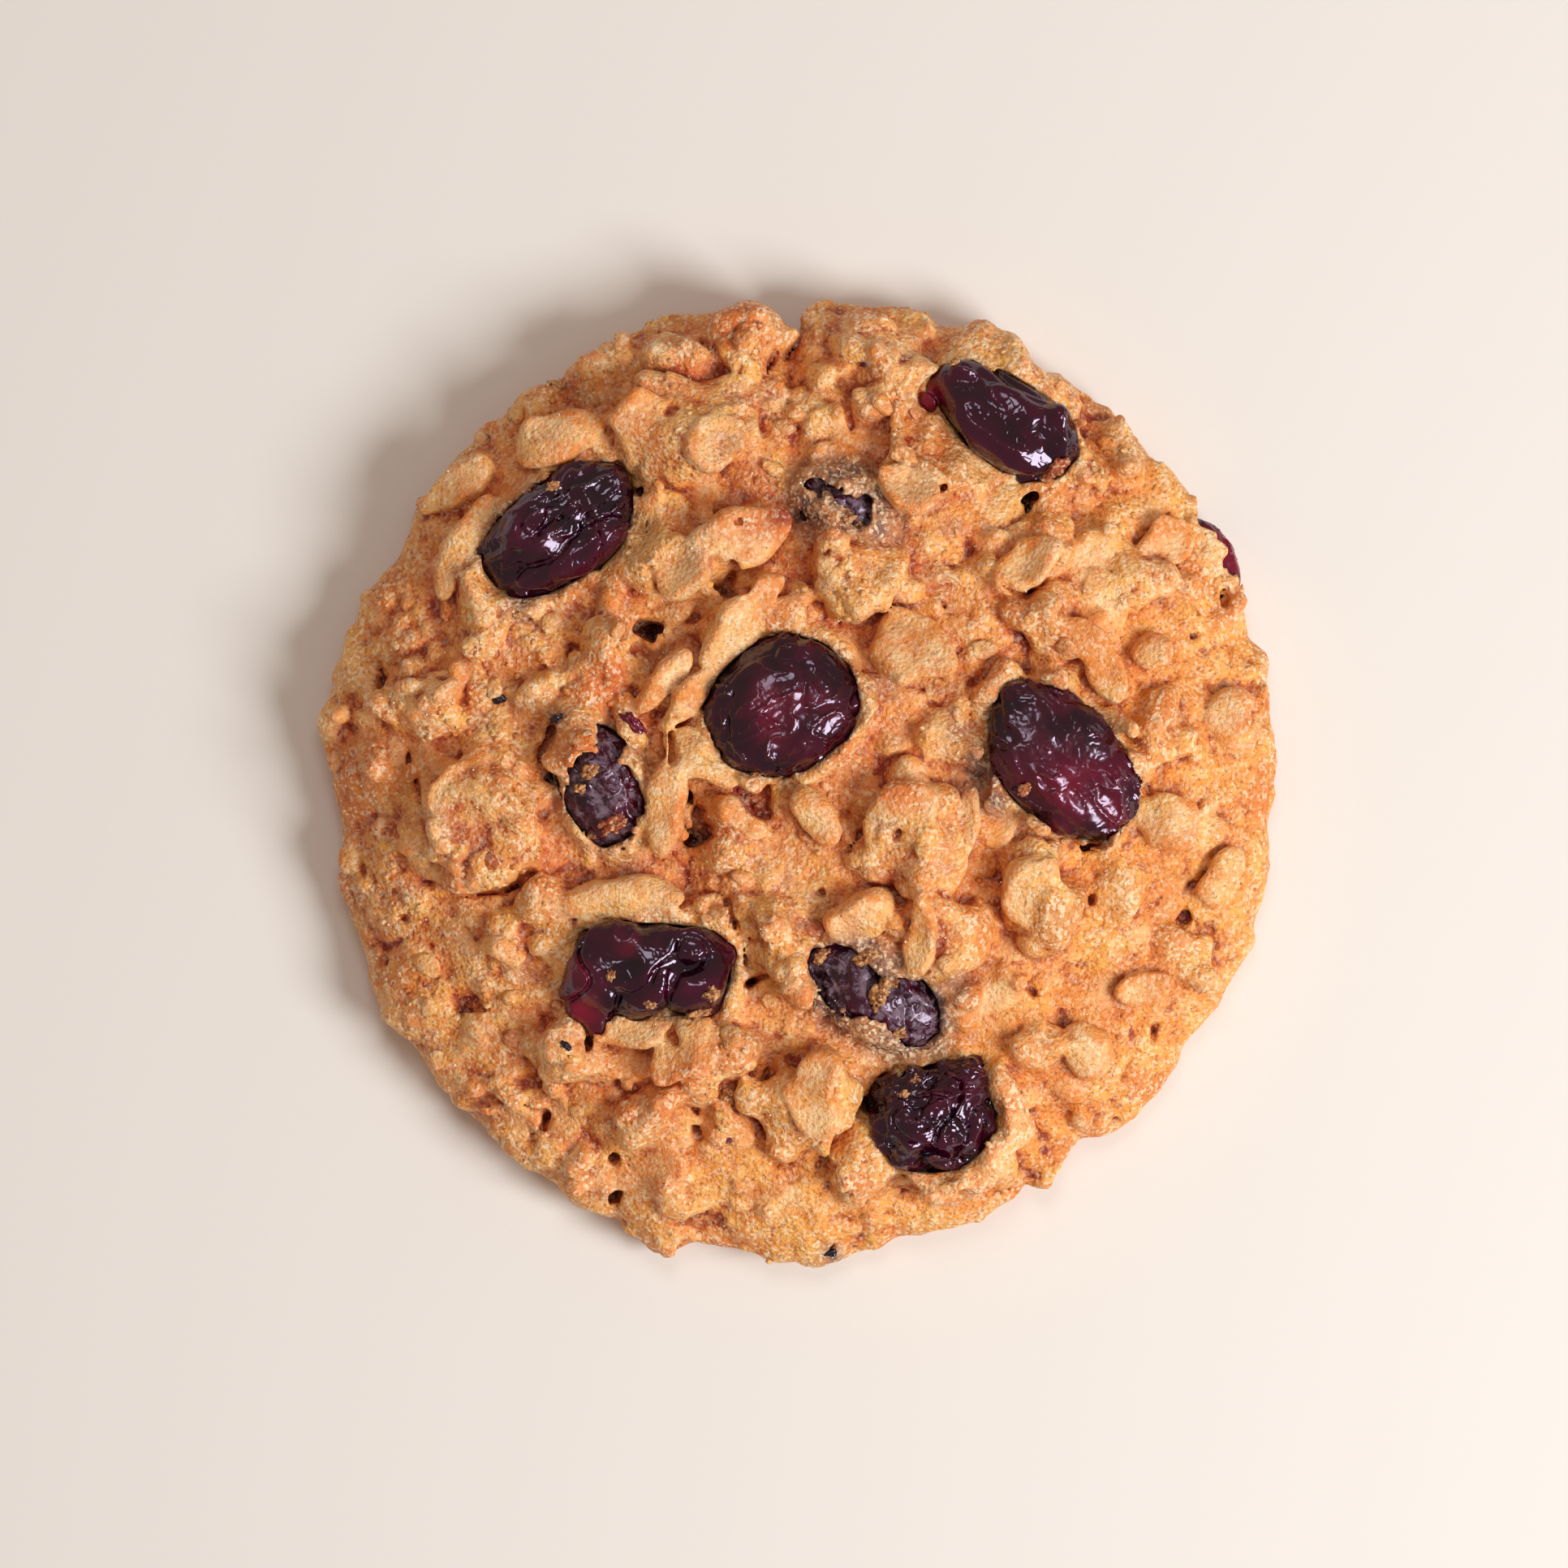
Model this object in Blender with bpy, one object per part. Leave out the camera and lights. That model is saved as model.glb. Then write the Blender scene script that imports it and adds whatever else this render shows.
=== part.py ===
"""Oatmeal cranberry cookie: one craggy, domed piece of oat dough with ten cranberries set in it.

Metres, +Z up. The cookie lies on its flat underside at z = 0, with the origin under its middle.
Seen from above, +X is to the right and +Y is the far side. Every cranberry sits in a pocket
that is cut out of the dough a hair wider than the berry.
"""
import math

import bmesh
import bpy
from mathutils import Matrix, Vector, noise

MM = 0.001

# Driving dimensions of the dough.
OUTLINE_RADIUS = 37.75 * MM
CENTRE_HEIGHT = 12.0 * MM
RIM_HEIGHT_THIN = 7.0 * MM
RIM_HEIGHT_THICK = 9.4 * MM
THICK_SIDE = math.radians(160)
WIDEST_HEIGHT = 2.6 * MM
SHOULDER_POWER = 6.5
FOOT_SHARE = 0.95

# The dough's surface: how much it wanders in and out, and over what distance.
TOP_UNEVENNESS = 1.0 * MM
TOP_UNEVENNESS_STEP = 3.6 * MM
EDGE_UNEVENNESS = 0.5 * MM
EDGE_UNEVENNESS_STEP = 3.5 * MM

# The dough starts as a ball. These say how finely it is divided, and which of its parallels,
# counted from the top, become the widest line and the edge of the flat underside.
DOUGH_FINENESS = 5
WIDEST_PARALLEL = math.radians(112)
FOOT_PARALLEL = math.radians(121)

# The pocket round a berry is this much wider than the berry.
POCKET_GAP = 0.3 * MM

# Where the outline leaves its mean circle: angle and half width in degrees, step in mm.
OUTLINE_STEPS = (
    (91.5, 4.0, -2.0),
    (107, 10, 0.9),
    (122, 3, -0.5),
    (151, 4, -0.8),
    (171, 5, 0.3),
    (187, 4, -0.6),
    (209, 4, 0.4),
    (243, 3, 0.3),
    (253, 6, 1.4),
    (272, 7, 0.9),
    (283, 3, -0.6),
    (300, 6, -0.5),
    (308, 3.5, -1.1),
    (327, 3, -0.8),
    (340, 5, 0.3),
    (14, 3, 0.4),
    (18, 3, -0.4),
    (27, 4, 0.7),
    (33, 3, -1.0),
    (37, 4, 0.5),
    (52, 5, 0.6),
    (61, 3, -0.5),
    (67, 4.5, 1.4),
    (80, 8, 0.8),
)

# The clumps and the larger oat flakes that stand on the dough, in mm from the middle:
# x, y, length, width, turn in degrees, rise.
CLUMPS = (
    (-9.0, 27.6, 11.9, 8.6, 8, 1.7),
    (-19.2, 26.5, 7.4, 3.8, 20, 1.2),
    (-10.5, 34.0, 6.4, 5.8, -5, 1.0),
    (-15.4, 32.5, 6.0, 4.5, 80, 0.8),
    (-4.8, 34.6, 7.0, 6.5, 0, 1.2),
    (4.5, 34.4, 8.0, 6.0, -10, 1.0),
    (-27.1, 23.1, 6.6, 3.4, 40, 0.8),
    (-26.7, 18.2, 9.6, 3.6, 60, 0.8),
    (-16.8, 10.4, 4.8, 4.6, 0, 1.2),
    (-10.5, 18.1, 9.4, 4.8, 80, 1.3),
    (-5.2, 18.3, 8.6, 5.2, 25, 1.5),
    (4.8, 16.4, 8.6, 8.2, -20, 1.5),
    (-5.1, 12.4, 8.5, 3.2, 50, 1.2),
    (-9.8, 7.4, 7.8, 4.6, 50, 1.1),
    (9.3, 24.5, 9.6, 9.2, -15, 1.6),
    (8.8, 10.3, 7.6, 6.6, -30, 1.3),
    (19.2, 12.9, 6.6, 6.2, 0, 1.1),
    (23.2, 9.3, 7.6, 3.4, -60, 0.8),
    (17.5, 16.7, 6.6, 3.8, 35, 1.0),
    (15.7, 33.5, 5.6, 5.4, 0, 0.9),
    (20.9, 30.4, 5.8, 4.8, -30, 0.8),
    (28.8, 20.5, 9.0, 5.0, -45, 0.6),
    (-23.4, -5.6, 12.4, 11.0, 60, 1.5),
    (-26.9, 0.8, 6.6, 4.8, 30, 0.9),
    (-16.2, -9.2, 14.0, 4.2, 3, 1.2),
    (-13.2, -20.0, 7.2, 3.4, 5, 0.9),
    (-5.8, -21.4, 7.6, 7.2, 40, 1.3),
    (-10.6, -2.2, 7.8, 4.0, 85, 1.2),
    (-8.3, 1.8, 6.2, 3.6, -30, 1.0),
    (-1.6, -13.1, 9.8, 5.6, 80, 1.6),
    (9.3, -7.8, 15.0, 9.0, 78, 1.9),
    (18.2, -9.7, 8.0, 6.4, 80, 1.5),
    (18.6, -21.2, 5.4, 5.2, 0, 0.9),
    (0.8, -24.4, 8.6, 7.2, 75, 1.7),
    (-17.6, 2.6, 5.2, 4.6, 20, 1.0),
    (-9.6, -27.6, 9.0, 5.4, 30, 1.0),
    (-20.6, -17.6, 7.6, 5.2, -30, 0.9),
    (27.0, -3.6, 7.0, 5.2, 60, 0.6),
)

# The cranberries, in mm from the middle: name, x, y, length, width, thickness, turn in degrees,
# height of its middle over the plain dome, squareness, wrinkle share.
CRANBERRIES = (
    ("cranberry_upper_right", 15.8, 28.2, 13.9, 7.6, 6.4, -38, 0.1, 0.0, 0.12),
    ("cranberry_upper_left", -19.1, 19.6, 13.4, 8.4, 6.6, 35, -0.5, 0.1, 0.20),
    ("cranberry_centre", -1.5, 6.1, 12.9, 11.4, 7.4, 32, -0.1, 0.1, 0.16),
    ("cranberry_right", 20.2, 1.6, 14.2, 9.7, 6.8, -48, 0.2, 0.1, 0.14),
    ("cranberry_lower_left", -12.0, -14.9, 13.0, 7.9, 6.6, -2, -0.2, 0.6, 0.10),
    ("cranberry_lower_right", 10.5, -26.6, 9.9, 9.5, 6.8, 20, 0.1, 0.2, 0.20),
    ("cranberry_left_buried", -15.6, -0.6, 10.8, 6.6, 5.6, -68, -1.6, 0.1, 0.14),
    ("cranberry_lower_buried", 5.5, -16.9, 12.2, 6.6, 5.6, -34, -1.9, 0.1, 0.18),
    ("cranberry_peek", 3.4, 21.4, 8.2, 5.6, 4.4, -28, -1.5, 0.0, 0.16),
    ("cranberry_rim", 31.6, 17.2, 8.0, 5.2, 2.8, 118.5, -2.4, 0.0, 0.10),
)
# The rim berry lies level in the wall, and the others lean with the dome under them.
LEVEL_BERRIES = ("cranberry_rim",)
SLOPE_REACH = 3.0 * MM

# Berry meshes: how fine the large and the small ones are, and how wide their wrinkles are.
BERRY_FINENESS = 3
SMALL_BERRY_FINENESS = 2
SMALL_BERRY_LENGTH = 9.0
WRINKLE_STEP = 2.6 * MM

DOUGH_COLOUR = (0.60, 0.27, 0.085, 1.0)
BERRY_COLOUR = (0.050, 0.003, 0.010, 1.0)


def clear_scene():
    for old in list(bpy.data.objects):
        bpy.data.objects.remove(old, do_unlink=True)


def new_collection(name):
    collection = bpy.data.collections.new(name)
    bpy.context.scene.collection.children.link(collection)
    return collection


def new_material(name, colour, roughness):
    material = bpy.data.materials.new(name)
    material.use_nodes = True
    shader = material.node_tree.nodes["Principled BSDF"]
    shader.inputs["Base Color"].default_value = colour
    shader.inputs["Roughness"].default_value = roughness
    shader.inputs["Metallic"].default_value = 0.0
    material.diffuse_color = colour
    return material


def new_object(name, bm, collection, material=None):
    mesh = bpy.data.meshes.new(name)
    bm.to_mesh(mesh)
    bm.free()
    mesh.shade_smooth()
    body = bpy.data.objects.new(name, mesh)
    collection.objects.link(body)
    if material is not None:
        mesh.materials.append(material)
    return body


def wander(point, step, size):
    """A smooth unevenness of the given size, which changes over the given distance."""
    return size * noise.noise(point / step)


def outline_radius(angle):
    radius = OUTLINE_RADIUS
    for clock, half_width, step in OUTLINE_STEPS:
        away = (math.degrees(angle) - clock + 180.0) % 360.0 - 180.0
        radius += step * MM * math.exp(-(away / half_width) ** 2)
    return radius


def dome_height(x, y):
    """The plain domed top, highest in the middle, with a thin rim on one side."""
    angle = math.atan2(y, x)
    share = min(1.0, math.hypot(x, y) / outline_radius(angle))
    thick = 0.5 + 0.5 * math.cos(angle - THICK_SIDE)
    rim = RIM_HEIGHT_THIN + (RIM_HEIGHT_THICK - RIM_HEIGHT_THIN) * thick
    crown = rim + (CENTRE_HEIGHT - rim) * (1.0 - share ** 2)
    shoulder = math.sqrt(max(0.0, 1.0 - share ** SHOULDER_POWER))
    return WIDEST_HEIGHT + (crown - WIDEST_HEIGHT) * shoulder


def clump_rise(x, y):
    """How far the tallest clump at this place stands over the dome."""
    tallest = 0.0
    for cx, cy, length, width, turn, rise in CLUMPS:
        dx = x - cx * MM
        dy = y - cy * MM
        cos_turn = math.cos(math.radians(turn))
        sin_turn = math.sin(math.radians(turn))
        along = (dx * cos_turn + dy * sin_turn) / (0.5 * length * MM)
        across = (dy * cos_turn - dx * sin_turn) / (0.5 * width * MM)
        from_middle = along ** 2 + across ** 2
        tallest = max(tallest, rise * MM * math.exp(-from_middle ** 2))
    return tallest


def section(down):
    """The cookie's cross-section: a share of the outline radius and a height.

    The angle runs from the top's middle over the edge to the underside's middle. The height
    is None on the top, whose surface sets it.
    """
    if down <= WIDEST_PARALLEL:
        share = math.sqrt((1.0 - math.cos(down)) / (1.0 - math.cos(WIDEST_PARALLEL)))
        return share, None
    if down < FOOT_PARALLEL:
        bend = 0.5 * math.pi * (down - WIDEST_PARALLEL) / (FOOT_PARALLEL - WIDEST_PARALLEL)
        share = 1.0 - (1.0 - FOOT_SHARE) * (1.0 - math.cos(bend))
        return share, WIDEST_HEIGHT * (1.0 - math.sin(bend))
    return FOOT_SHARE * math.sin(down) / math.sin(FOOT_PARALLEL), 0.0


def dough_point(way):
    angle = math.atan2(way.y, way.x)
    share, height = section(math.acos(max(-1.0, min(1.0, way.z))))
    radius = share * outline_radius(angle)
    x = radius * math.cos(angle)
    y = radius * math.sin(angle)
    if height is None:
        lift = clump_rise(x, y) + wander(Vector((x, y, 0.0)), TOP_UNEVENNESS_STEP, TOP_UNEVENNESS)
        height = dome_height(x, y) + lift * (1.0 - share ** (2.0 * SHOULDER_POWER))
    push = wander(Vector((x, y, 2.0 * height)), EDGE_UNEVENNESS_STEP, EDGE_UNEVENNESS) * share ** 6
    return Vector((x + push * math.cos(angle), y + push * math.sin(angle), height))


def flatten_underside(bm):
    """Make the many small faces of the flat underside one face."""
    under = [face for face in bm.faces if all(vert.co.z == 0.0 for vert in face.verts)]
    bmesh.ops.dissolve_faces(bm, faces=under)


def build_dough(collection, material):
    bm = bmesh.new()
    bmesh.ops.create_icosphere(bm, subdivisions=DOUGH_FINENESS, radius=1.0)
    for vert in bm.verts:
        vert.co = dough_point(vert.co.normalized())
    flatten_underside(bm)
    return new_object("oat_dough", bm, collection, material)


def berry_mesh(length, width, thickness, squareness, wrinkle, place, gap):
    """A squashed, wrinkled berry round its own middle, fatter by the gap all over."""
    fineness = SMALL_BERRY_FINENESS if length < SMALL_BERRY_LENGTH else BERRY_FINENESS
    power = 2.0 + 2.0 * squareness
    bm = bmesh.new()
    bmesh.ops.create_icosphere(bm, subdivisions=fineness, radius=1.0)
    for vert in bm.verts:
        way = vert.co.normalized()
        spread = sum(abs(part) ** power for part in way) ** (-1.0 / power)
        half = Vector((length, width, thickness)) * (0.5 * MM)
        point = Vector((way.x * half.x, way.y * half.y, way.z * half.z)) * spread
        fold = noise.noise((point + place) / WRINKLE_STEP)
        point *= 1.0 + wrinkle * fold
        vert.co = point + way * gap
    return bm


def dome_lean(x, y):
    """The turn that leans an upright thing over to stand square on the dome."""
    rise_x = dome_height(x + SLOPE_REACH, y) - dome_height(x - SLOPE_REACH, y)
    rise_y = dome_height(x, y + SLOPE_REACH) - dome_height(x, y - SLOPE_REACH)
    upright = Vector((-rise_x, -rise_y, 2.0 * SLOPE_REACH)).normalized()
    return Vector((0.0, 0.0, 1.0)).rotation_difference(upright).to_matrix().to_4x4()


def build_cranberry(row, collection, material=None, gap=0.0):
    """The berry of one row. With a gap, it is the cutter for that berry's pocket."""
    name, x, y, length, width, thickness, turn, over, squareness, wrinkle = row
    place = Vector((x * MM, y * MM, dome_height(x * MM, y * MM) + over * MM))
    matrix = Matrix.Rotation(math.radians(turn), 4, "Z")
    if name not in LEVEL_BERRIES:
        matrix = dome_lean(place.x, place.y) @ matrix
    bm = berry_mesh(length, width, thickness, squareness, wrinkle, place, gap)
    bm.transform(Matrix.Translation(place) @ matrix)
    if gap > 0.0:
        name += "_pocket"
    return new_object(name, bm, collection, material)


def cut_pocket(dough, cutter):
    cutter.hide_render = True
    cutter.display_type = "WIRE"
    pocket = dough.modifiers.new("Pocket_" + cutter.name, "BOOLEAN")
    pocket.operation = "DIFFERENCE"
    pocket.solver = "EXACT"
    pocket.object = cutter


def shift_to_origin(bodies):
    """The shift that stands the middle of the whole cookie's box over the origin."""
    corners = [vert.co for body in bodies for vert in body.data.vertices]
    middle_x = 0.5 * (min(co.x for co in corners) + max(co.x for co in corners))
    middle_y = 0.5 * (min(co.y for co in corners) + max(co.y for co in corners))
    return Matrix.Translation(Vector((-middle_x, -middle_y, 0.0)))


def main():
    clear_scene()
    cookie = new_collection("oatmeal_cranberry_cookie")
    cutters = new_collection("cutters")
    dough_finish = new_material("baked_oat_dough", DOUGH_COLOUR, 0.8)
    dough = build_dough(cookie, dough_finish)
    berries = []
    pockets = []
    for row in CRANBERRIES:
        berry_finish = new_material(row[0] + "_skin", BERRY_COLOUR, 0.25)
        berries.append(build_cranberry(row, cookie, berry_finish))
        pockets.append(build_cranberry(row, cutters, gap=POCKET_GAP))
    shift = shift_to_origin([dough] + berries)
    for body in [dough] + berries + pockets:
        body.data.transform(shift)
    for pocket in pockets:
        cut_pocket(dough, pocket)


main()
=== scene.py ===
"""The looks of an oatmeal cranberry cookie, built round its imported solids.

The dough is one mesh. It is taken off a grid of signed distances, into which the dome, its
clumps, its oat flakes, the berries' pockets and the cracks are pressed one after the other.
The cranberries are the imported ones, made fine and wrinkled. Pale oats, crumbs and sugar are
scattered over the dough by Geometry Nodes. Lengths are in metres.
"""
import math
from functools import partial

import bmesh
import bpy
import numpy as np
from mathutils import Matrix, Vector


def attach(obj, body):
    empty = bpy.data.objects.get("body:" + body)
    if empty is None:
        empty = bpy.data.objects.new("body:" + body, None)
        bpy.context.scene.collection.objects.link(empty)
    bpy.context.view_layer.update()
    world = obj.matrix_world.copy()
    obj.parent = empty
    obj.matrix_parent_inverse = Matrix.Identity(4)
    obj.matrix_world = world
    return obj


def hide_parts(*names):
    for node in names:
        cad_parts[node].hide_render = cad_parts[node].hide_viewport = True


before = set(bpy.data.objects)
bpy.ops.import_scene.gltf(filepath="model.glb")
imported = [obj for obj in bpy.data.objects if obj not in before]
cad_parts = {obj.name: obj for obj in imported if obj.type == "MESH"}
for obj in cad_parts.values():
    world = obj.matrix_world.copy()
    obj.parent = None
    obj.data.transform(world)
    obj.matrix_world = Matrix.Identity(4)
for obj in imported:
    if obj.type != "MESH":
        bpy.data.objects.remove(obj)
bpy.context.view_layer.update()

MM = 0.001

# The random seed of each kind of unevenness, so that every run bakes the same cookie.
SEEDS = {
    "dome": 5, "warp": 11, "clumps": 21, "flakes": 22, "filler": 34, "filler places": 35,
    "granule places": 36, "open dough": 38, "lips": 55, "rubble": 58, "rubble places": 59,
    "rubble patches": 60, "rim": 61, "covers": 66, "holes": 77, "pore places": 78,
    "middle crumbs": 81, "small crumbs": 82, "crumbling": 83, "large crumbs": 84,
    "underside": 91, "fine crumbs": 101, "grains": 102, "toast": 111, "stains": 112,
    "crumbly places": 113, "berries": 200, "bits": 300,
}

# Smooth noise is stretched by these, so that it runs from about -1 to 1.
LATTICE_GAIN = 2.6
GRADIENT_GAIN = 1.6

# Noise is read this many cells away from the origin, where no cell has a negative number. Each
# cell looks its random numbers up in a table of this many.
NOISE_START = 1000.0
CRUMB_START = 500.0
HASHES = 256

# How far a crumb reaches from its middle, as the square of a share of its cell.
CRUMB_REACH = 0.72

# Evenly spread places are picked from at most this many.
MOST_SPOTS = 60000

# How the photograph maps to the cookie: its size, its scale and the pixel over the dome's middle.
PHOTO_PIXELS = 1932
PHOTO_SCALE = 0.064 * MM
DOME_PIXEL = (990.0, 961.0)

# The dome under the clumps, as in the solids, but sunk a little so that valleys show. Its middle
# lies beside the origin, which is in the middle of the whole cookie's box.
DOME_MIDDLE = (0.20 * MM, 0.42 * MM)
OUTLINE_RADIUS = 37.75 * MM
CENTRE_HEIGHT = 12.0 * MM
RIM_HEIGHT_THIN = 7.0 * MM
RIM_HEIGHT_THICK = 9.4 * MM
THICK_SIDE = math.radians(160)
CALM_SIDE = math.radians(-32)
WIDEST_HEIGHT = 2.6 * MM
SHOULDER_POWER = 6.5
FOOT_SHARE = 0.95
BAKED_FOOT = 3.5 * MM
DOME_SINK = 0.95 * MM
OUTLINE_SINK = 0.5 * MM
DOME_UNEVENNESS = 0.32 * MM
DOME_WAVE_WIDTH = 2.4 * MM
RIM_PROUD = 0.35 * MM
RIM_ROUNDING = 0.8 * MM

# The lumps and notches of the outline: angle and half width in degrees, and how far each one
# stands out in mm, or in where it is negative.
OUTLINE_STEPS = (
    (91.5, 1.9, -2.3), (107, 10, 0.9), (122, 3, -0.5), (151, 4, -0.8), (171, 5, 0.3),
    (187, 4, -0.6), (209, 4, 0.4), (243, 3, 0.3), (253, 6, 1.4), (272, 7, 0.9),
    (283, 3, -0.6), (300, 6, -0.5), (308, 2.5, -1.3), (327, 3, -0.8), (340, 5, 0.3),
    (14, 3, 0.4), (18, 2, -0.5), (27, 4, 0.7), (33, 2, -1.3), (37, 4, 0.5),
    (52, 5, 0.6), (61, 2, -0.6), (67, 4.5, 1.4), (80, 8, 0.8),
)

# The finer unevenness of the outline: waves round it, their size in mm and where they start.
OUTLINE_WAVES = ((23, 0.14, 0.7), (37, 0.12, 2.1), (59, 0.09, 4.0), (83, 0.06, 5.2))

# The field's grid, the farthest distance that it holds, and the dough's most triangles.
VOXEL = 0.24 * MM
GRID_LOW = (-40.5 * MM, -41.0 * MM, -1.0 * MM)
GRID_HIGH = (40.5 * MM, 41.0 * MM, 16.8 * MM)
FAR = 5.0 * MM
DOUGH_TRIANGLES = 196000

# The berries: their own grid, how far apart their random seeds lie, how far an open berry's skin
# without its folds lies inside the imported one, how far from it the folds matter, how many times
# longer than wide a wrinkle is, the gap between a berry and its pocket, and how thick the dough
# over a buried one is.
BERRY_VOXEL = 0.14 * MM
BERRY_SEED_STEP = 10
SKIN_SINK = 0.30 * MM
FOLD_REACH = 1.6 * MM
WRINKLE_STRETCH = 2.2
POCKET_GAP = 0.07 * MM
SHEATH = 0.55 * MM

# The lip of dough round a berry: how much larger than the berry it is on each side, and how much
# lower it lies.
LIP_PAST = (0.9 * MM, 0.9 * MM, 0.3 * MM)
LIP_SINK = 1.7 * MM

# How far a flake is bent out of shape, and how a berry's lobe is rounded where it joins.
FLAKE_WARP = 0.40 * MM
LOBE_FILLET = 0.7 * MM

# How far apart the cuts of a crack lie.
CRACK_STEP = 0.35 * MM

# The crumbs that the surface breaks into, and how near the surface they begin.
CRUMB_SIZES = {"large crumbs": 4.4 * MM, "middle crumbs": 2.1 * MM, "small crumbs": 1.1 * MM}
CRUMBLE_REACH = 1.2 * MM

# How far the dough stands out from what lies round it: the width of that neighbourhood in cells,
# and how far counts as 1. The material paints shade where these say the dough lies low or creased.
STANDING_OUT = {"crest": (7, 0.30 * MM), "crease": (3, 0.10 * MM), "rise": (19, 0.9 * MM)}

# A crumb is laid on the surface that lies under it, seen from this high up. One that misses the
# rim keeps this share of its way from the middle, again and again, until it meets the cookie.
HIGH_UP = 30 * MM
STEP_IN = 0.99

# How lumpy a single bit is: waves as shares of its radius, with their widths in radii, and how
# far apart in the noise they are read. It lies this share of its thickness over the surface.
BIT_LUMPS = ((0.5, 0.9), (0.45, 0.45), (0.3, 0.22))
BIT_STEP = 7.0
BIT_RISE = 0.2

# The lowest places that get small pieces, then granules and rubble, and then pores.
PIECES_FROM = 2.2 * MM
GRANULES_FROM = 3.6 * MM
PORES_FROM = 2.4 * MM

# How far a hole and a crack are bent out of shape, and how their edges are rounded.
RAGGED_HOLE = (0.7 * MM, 0.25 * MM)
RAGGED_CRACK = (0.6 * MM, 0.4 * MM)

# What a random turn in radians and a random tint are drawn from.
ANY_TURN = (0.0, 6.3)
ANY_TONE = (-1.0, 1.0)

# Clumps of dough, by their pixel in the photograph: name, pixel, then length, width and
# thickness in mm, turn in degrees, how far the top stands over the dome in mm, and how far the
# piece leans, in degrees, with the way it leans up.
LUMPS = (
    ("top left clump", (850, 530), 11.4, 8.2, 6.0, 8, 1.7, 8, 200),
    ("rim lump by the notch", (915, 412), 6.6, 6.2, 6.0, 0, 1.0, 0, 0),
    ("rim lump right of the notch", (1055, 418), 8.0, 5.8, 6.0, -10, 0.9, 0, 0),
    ("rim lump far left of the notch", (826, 428), 5.8, 5.6, 5.5, -5, 0.9, 0, 0),
    ("rim lump over the long flake", (750, 450), 4.2, 5.6, 5.0, 0, 0.6, 0, 0),
    ("lump left of the centre berry", (727, 799), 4.6, 4.4, 4.0, 0, 1.2, 0, 0),
    ("lump over the centre berry", (1065, 705), 8.2, 6.8, 5.0, -20, 1.6, 10, 250),
    ("clump right of the peek", (1140, 565), 7.6, 7.4, 5.0, -15, 1.6, 8, 120),
    ("clump over it", (1105, 480), 6.0, 5.0, 4.5, 30, 0.9, 0, 0),
    ("lump left of the right berry", (1180, 905), 5.4, 6.2, 4.5, 70, 0.6, 0, 0),
    ("pale round lump", (1290, 760), 6.4, 6.0, 4.2, 0, 1.1, 6, 200),
    ("rim lump over the upper berry", (1240, 435), 5.4, 5.2, 5.0, 0, 0.9, 0, 0),
    ("rim lump beside the upper berry", (1316, 484), 5.8, 4.6, 5.0, -30, 0.8, 0, 0),
    ("rim lump far right", (1385, 560), 6.6, 5.0, 5.0, -45, 0.5, 0, 0),
    ("lump left of the buried berry", (570, 965), 6.4, 4.6, 4.5, 30, 0.8, 0, 0),
    ("left rim lump", (520, 870), 6.4, 7.0, 5.0, 80, 0.7, 0, 0),
    ("left top rim lump", (600, 745), 5.2, 4.4, 5.0, 40, 0.7, 0, 0),
    ("clump under the lower left berry", (870, 1300), 8.6, 6.8, 5.0, 35, 1.3, 8, 30),
    ("lower left clump", (700, 1290), 6.0, 7.4, 5.0, -30, 0.9, 0, 0),
    ("low clump", (790, 1385), 9.0, 6.0, 5.0, 20, 0.9, 0, 0),
    ("tall clump", (965, 1160), 5.0, 9.0, 5.4, 8, 1.7, 10, 180),
    ("big ridge clump", (1125, 1040), 8.6, 9.6, 5.4, -15, 2.0, 8, 60),
    ("foot of the big ridge clump", (1150, 1150), 7.6, 8.0, 5.0, 0, 1.6, 6, 250),
    ("right lump", (1275, 1112), 6.2, 8.0, 4.6, 10, 1.5, 8, 110),
    ("lump under the oval flake", (985, 1360), 8.4, 8.8, 5.0, 0, 1.4, 0, 0),
    ("lump right of the oval flake", (1075, 1440), 6.0, 6.2, 4.6, 0, 0.9, 0, 0),
    ("lump in the lower right", (1285, 1295), 5.4, 5.0, 4.4, 0, 0.9, 0, 0),
    ("clump on the left berry", (712, 925), 4.6, 5.4, 3.4, 0, 1.5, 0, 0),
    ("lump below the centre berry", (905, 1030), 5.6, 4.6, 4.0, 20, 0.7, 0, 0),
    ("lump by the right rim", (1440, 900), 6.4, 5.4, 4.0, 60, 0.4, 0, 0),
    ("big round clump", (588, 1016), 9.8, 9.2, 5.0, 60, 1.3, 9, 150),
    ("clump left of the glossy flake", (680, 1102), 5.2, 4.2, 4.0, 20, 1.2, 0, 0),
    ("tall clump beside the berry", (812, 650), 5.0, 4.2, 4.4, 60, 1.3, 0, 0),
    ("lump under the right berry", (1390, 1095), 7.0, 5.4, 4.2, 20, 0.5, 0, 0),
    ("lump high on the right", (1412, 704), 6.4, 5.4, 4.4, 40, 0.6, 0, 0),
    ("lump low on the right", (1462, 1180), 5.6, 5.0, 4.2, 0, 0.5, 0, 0),
)

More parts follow.
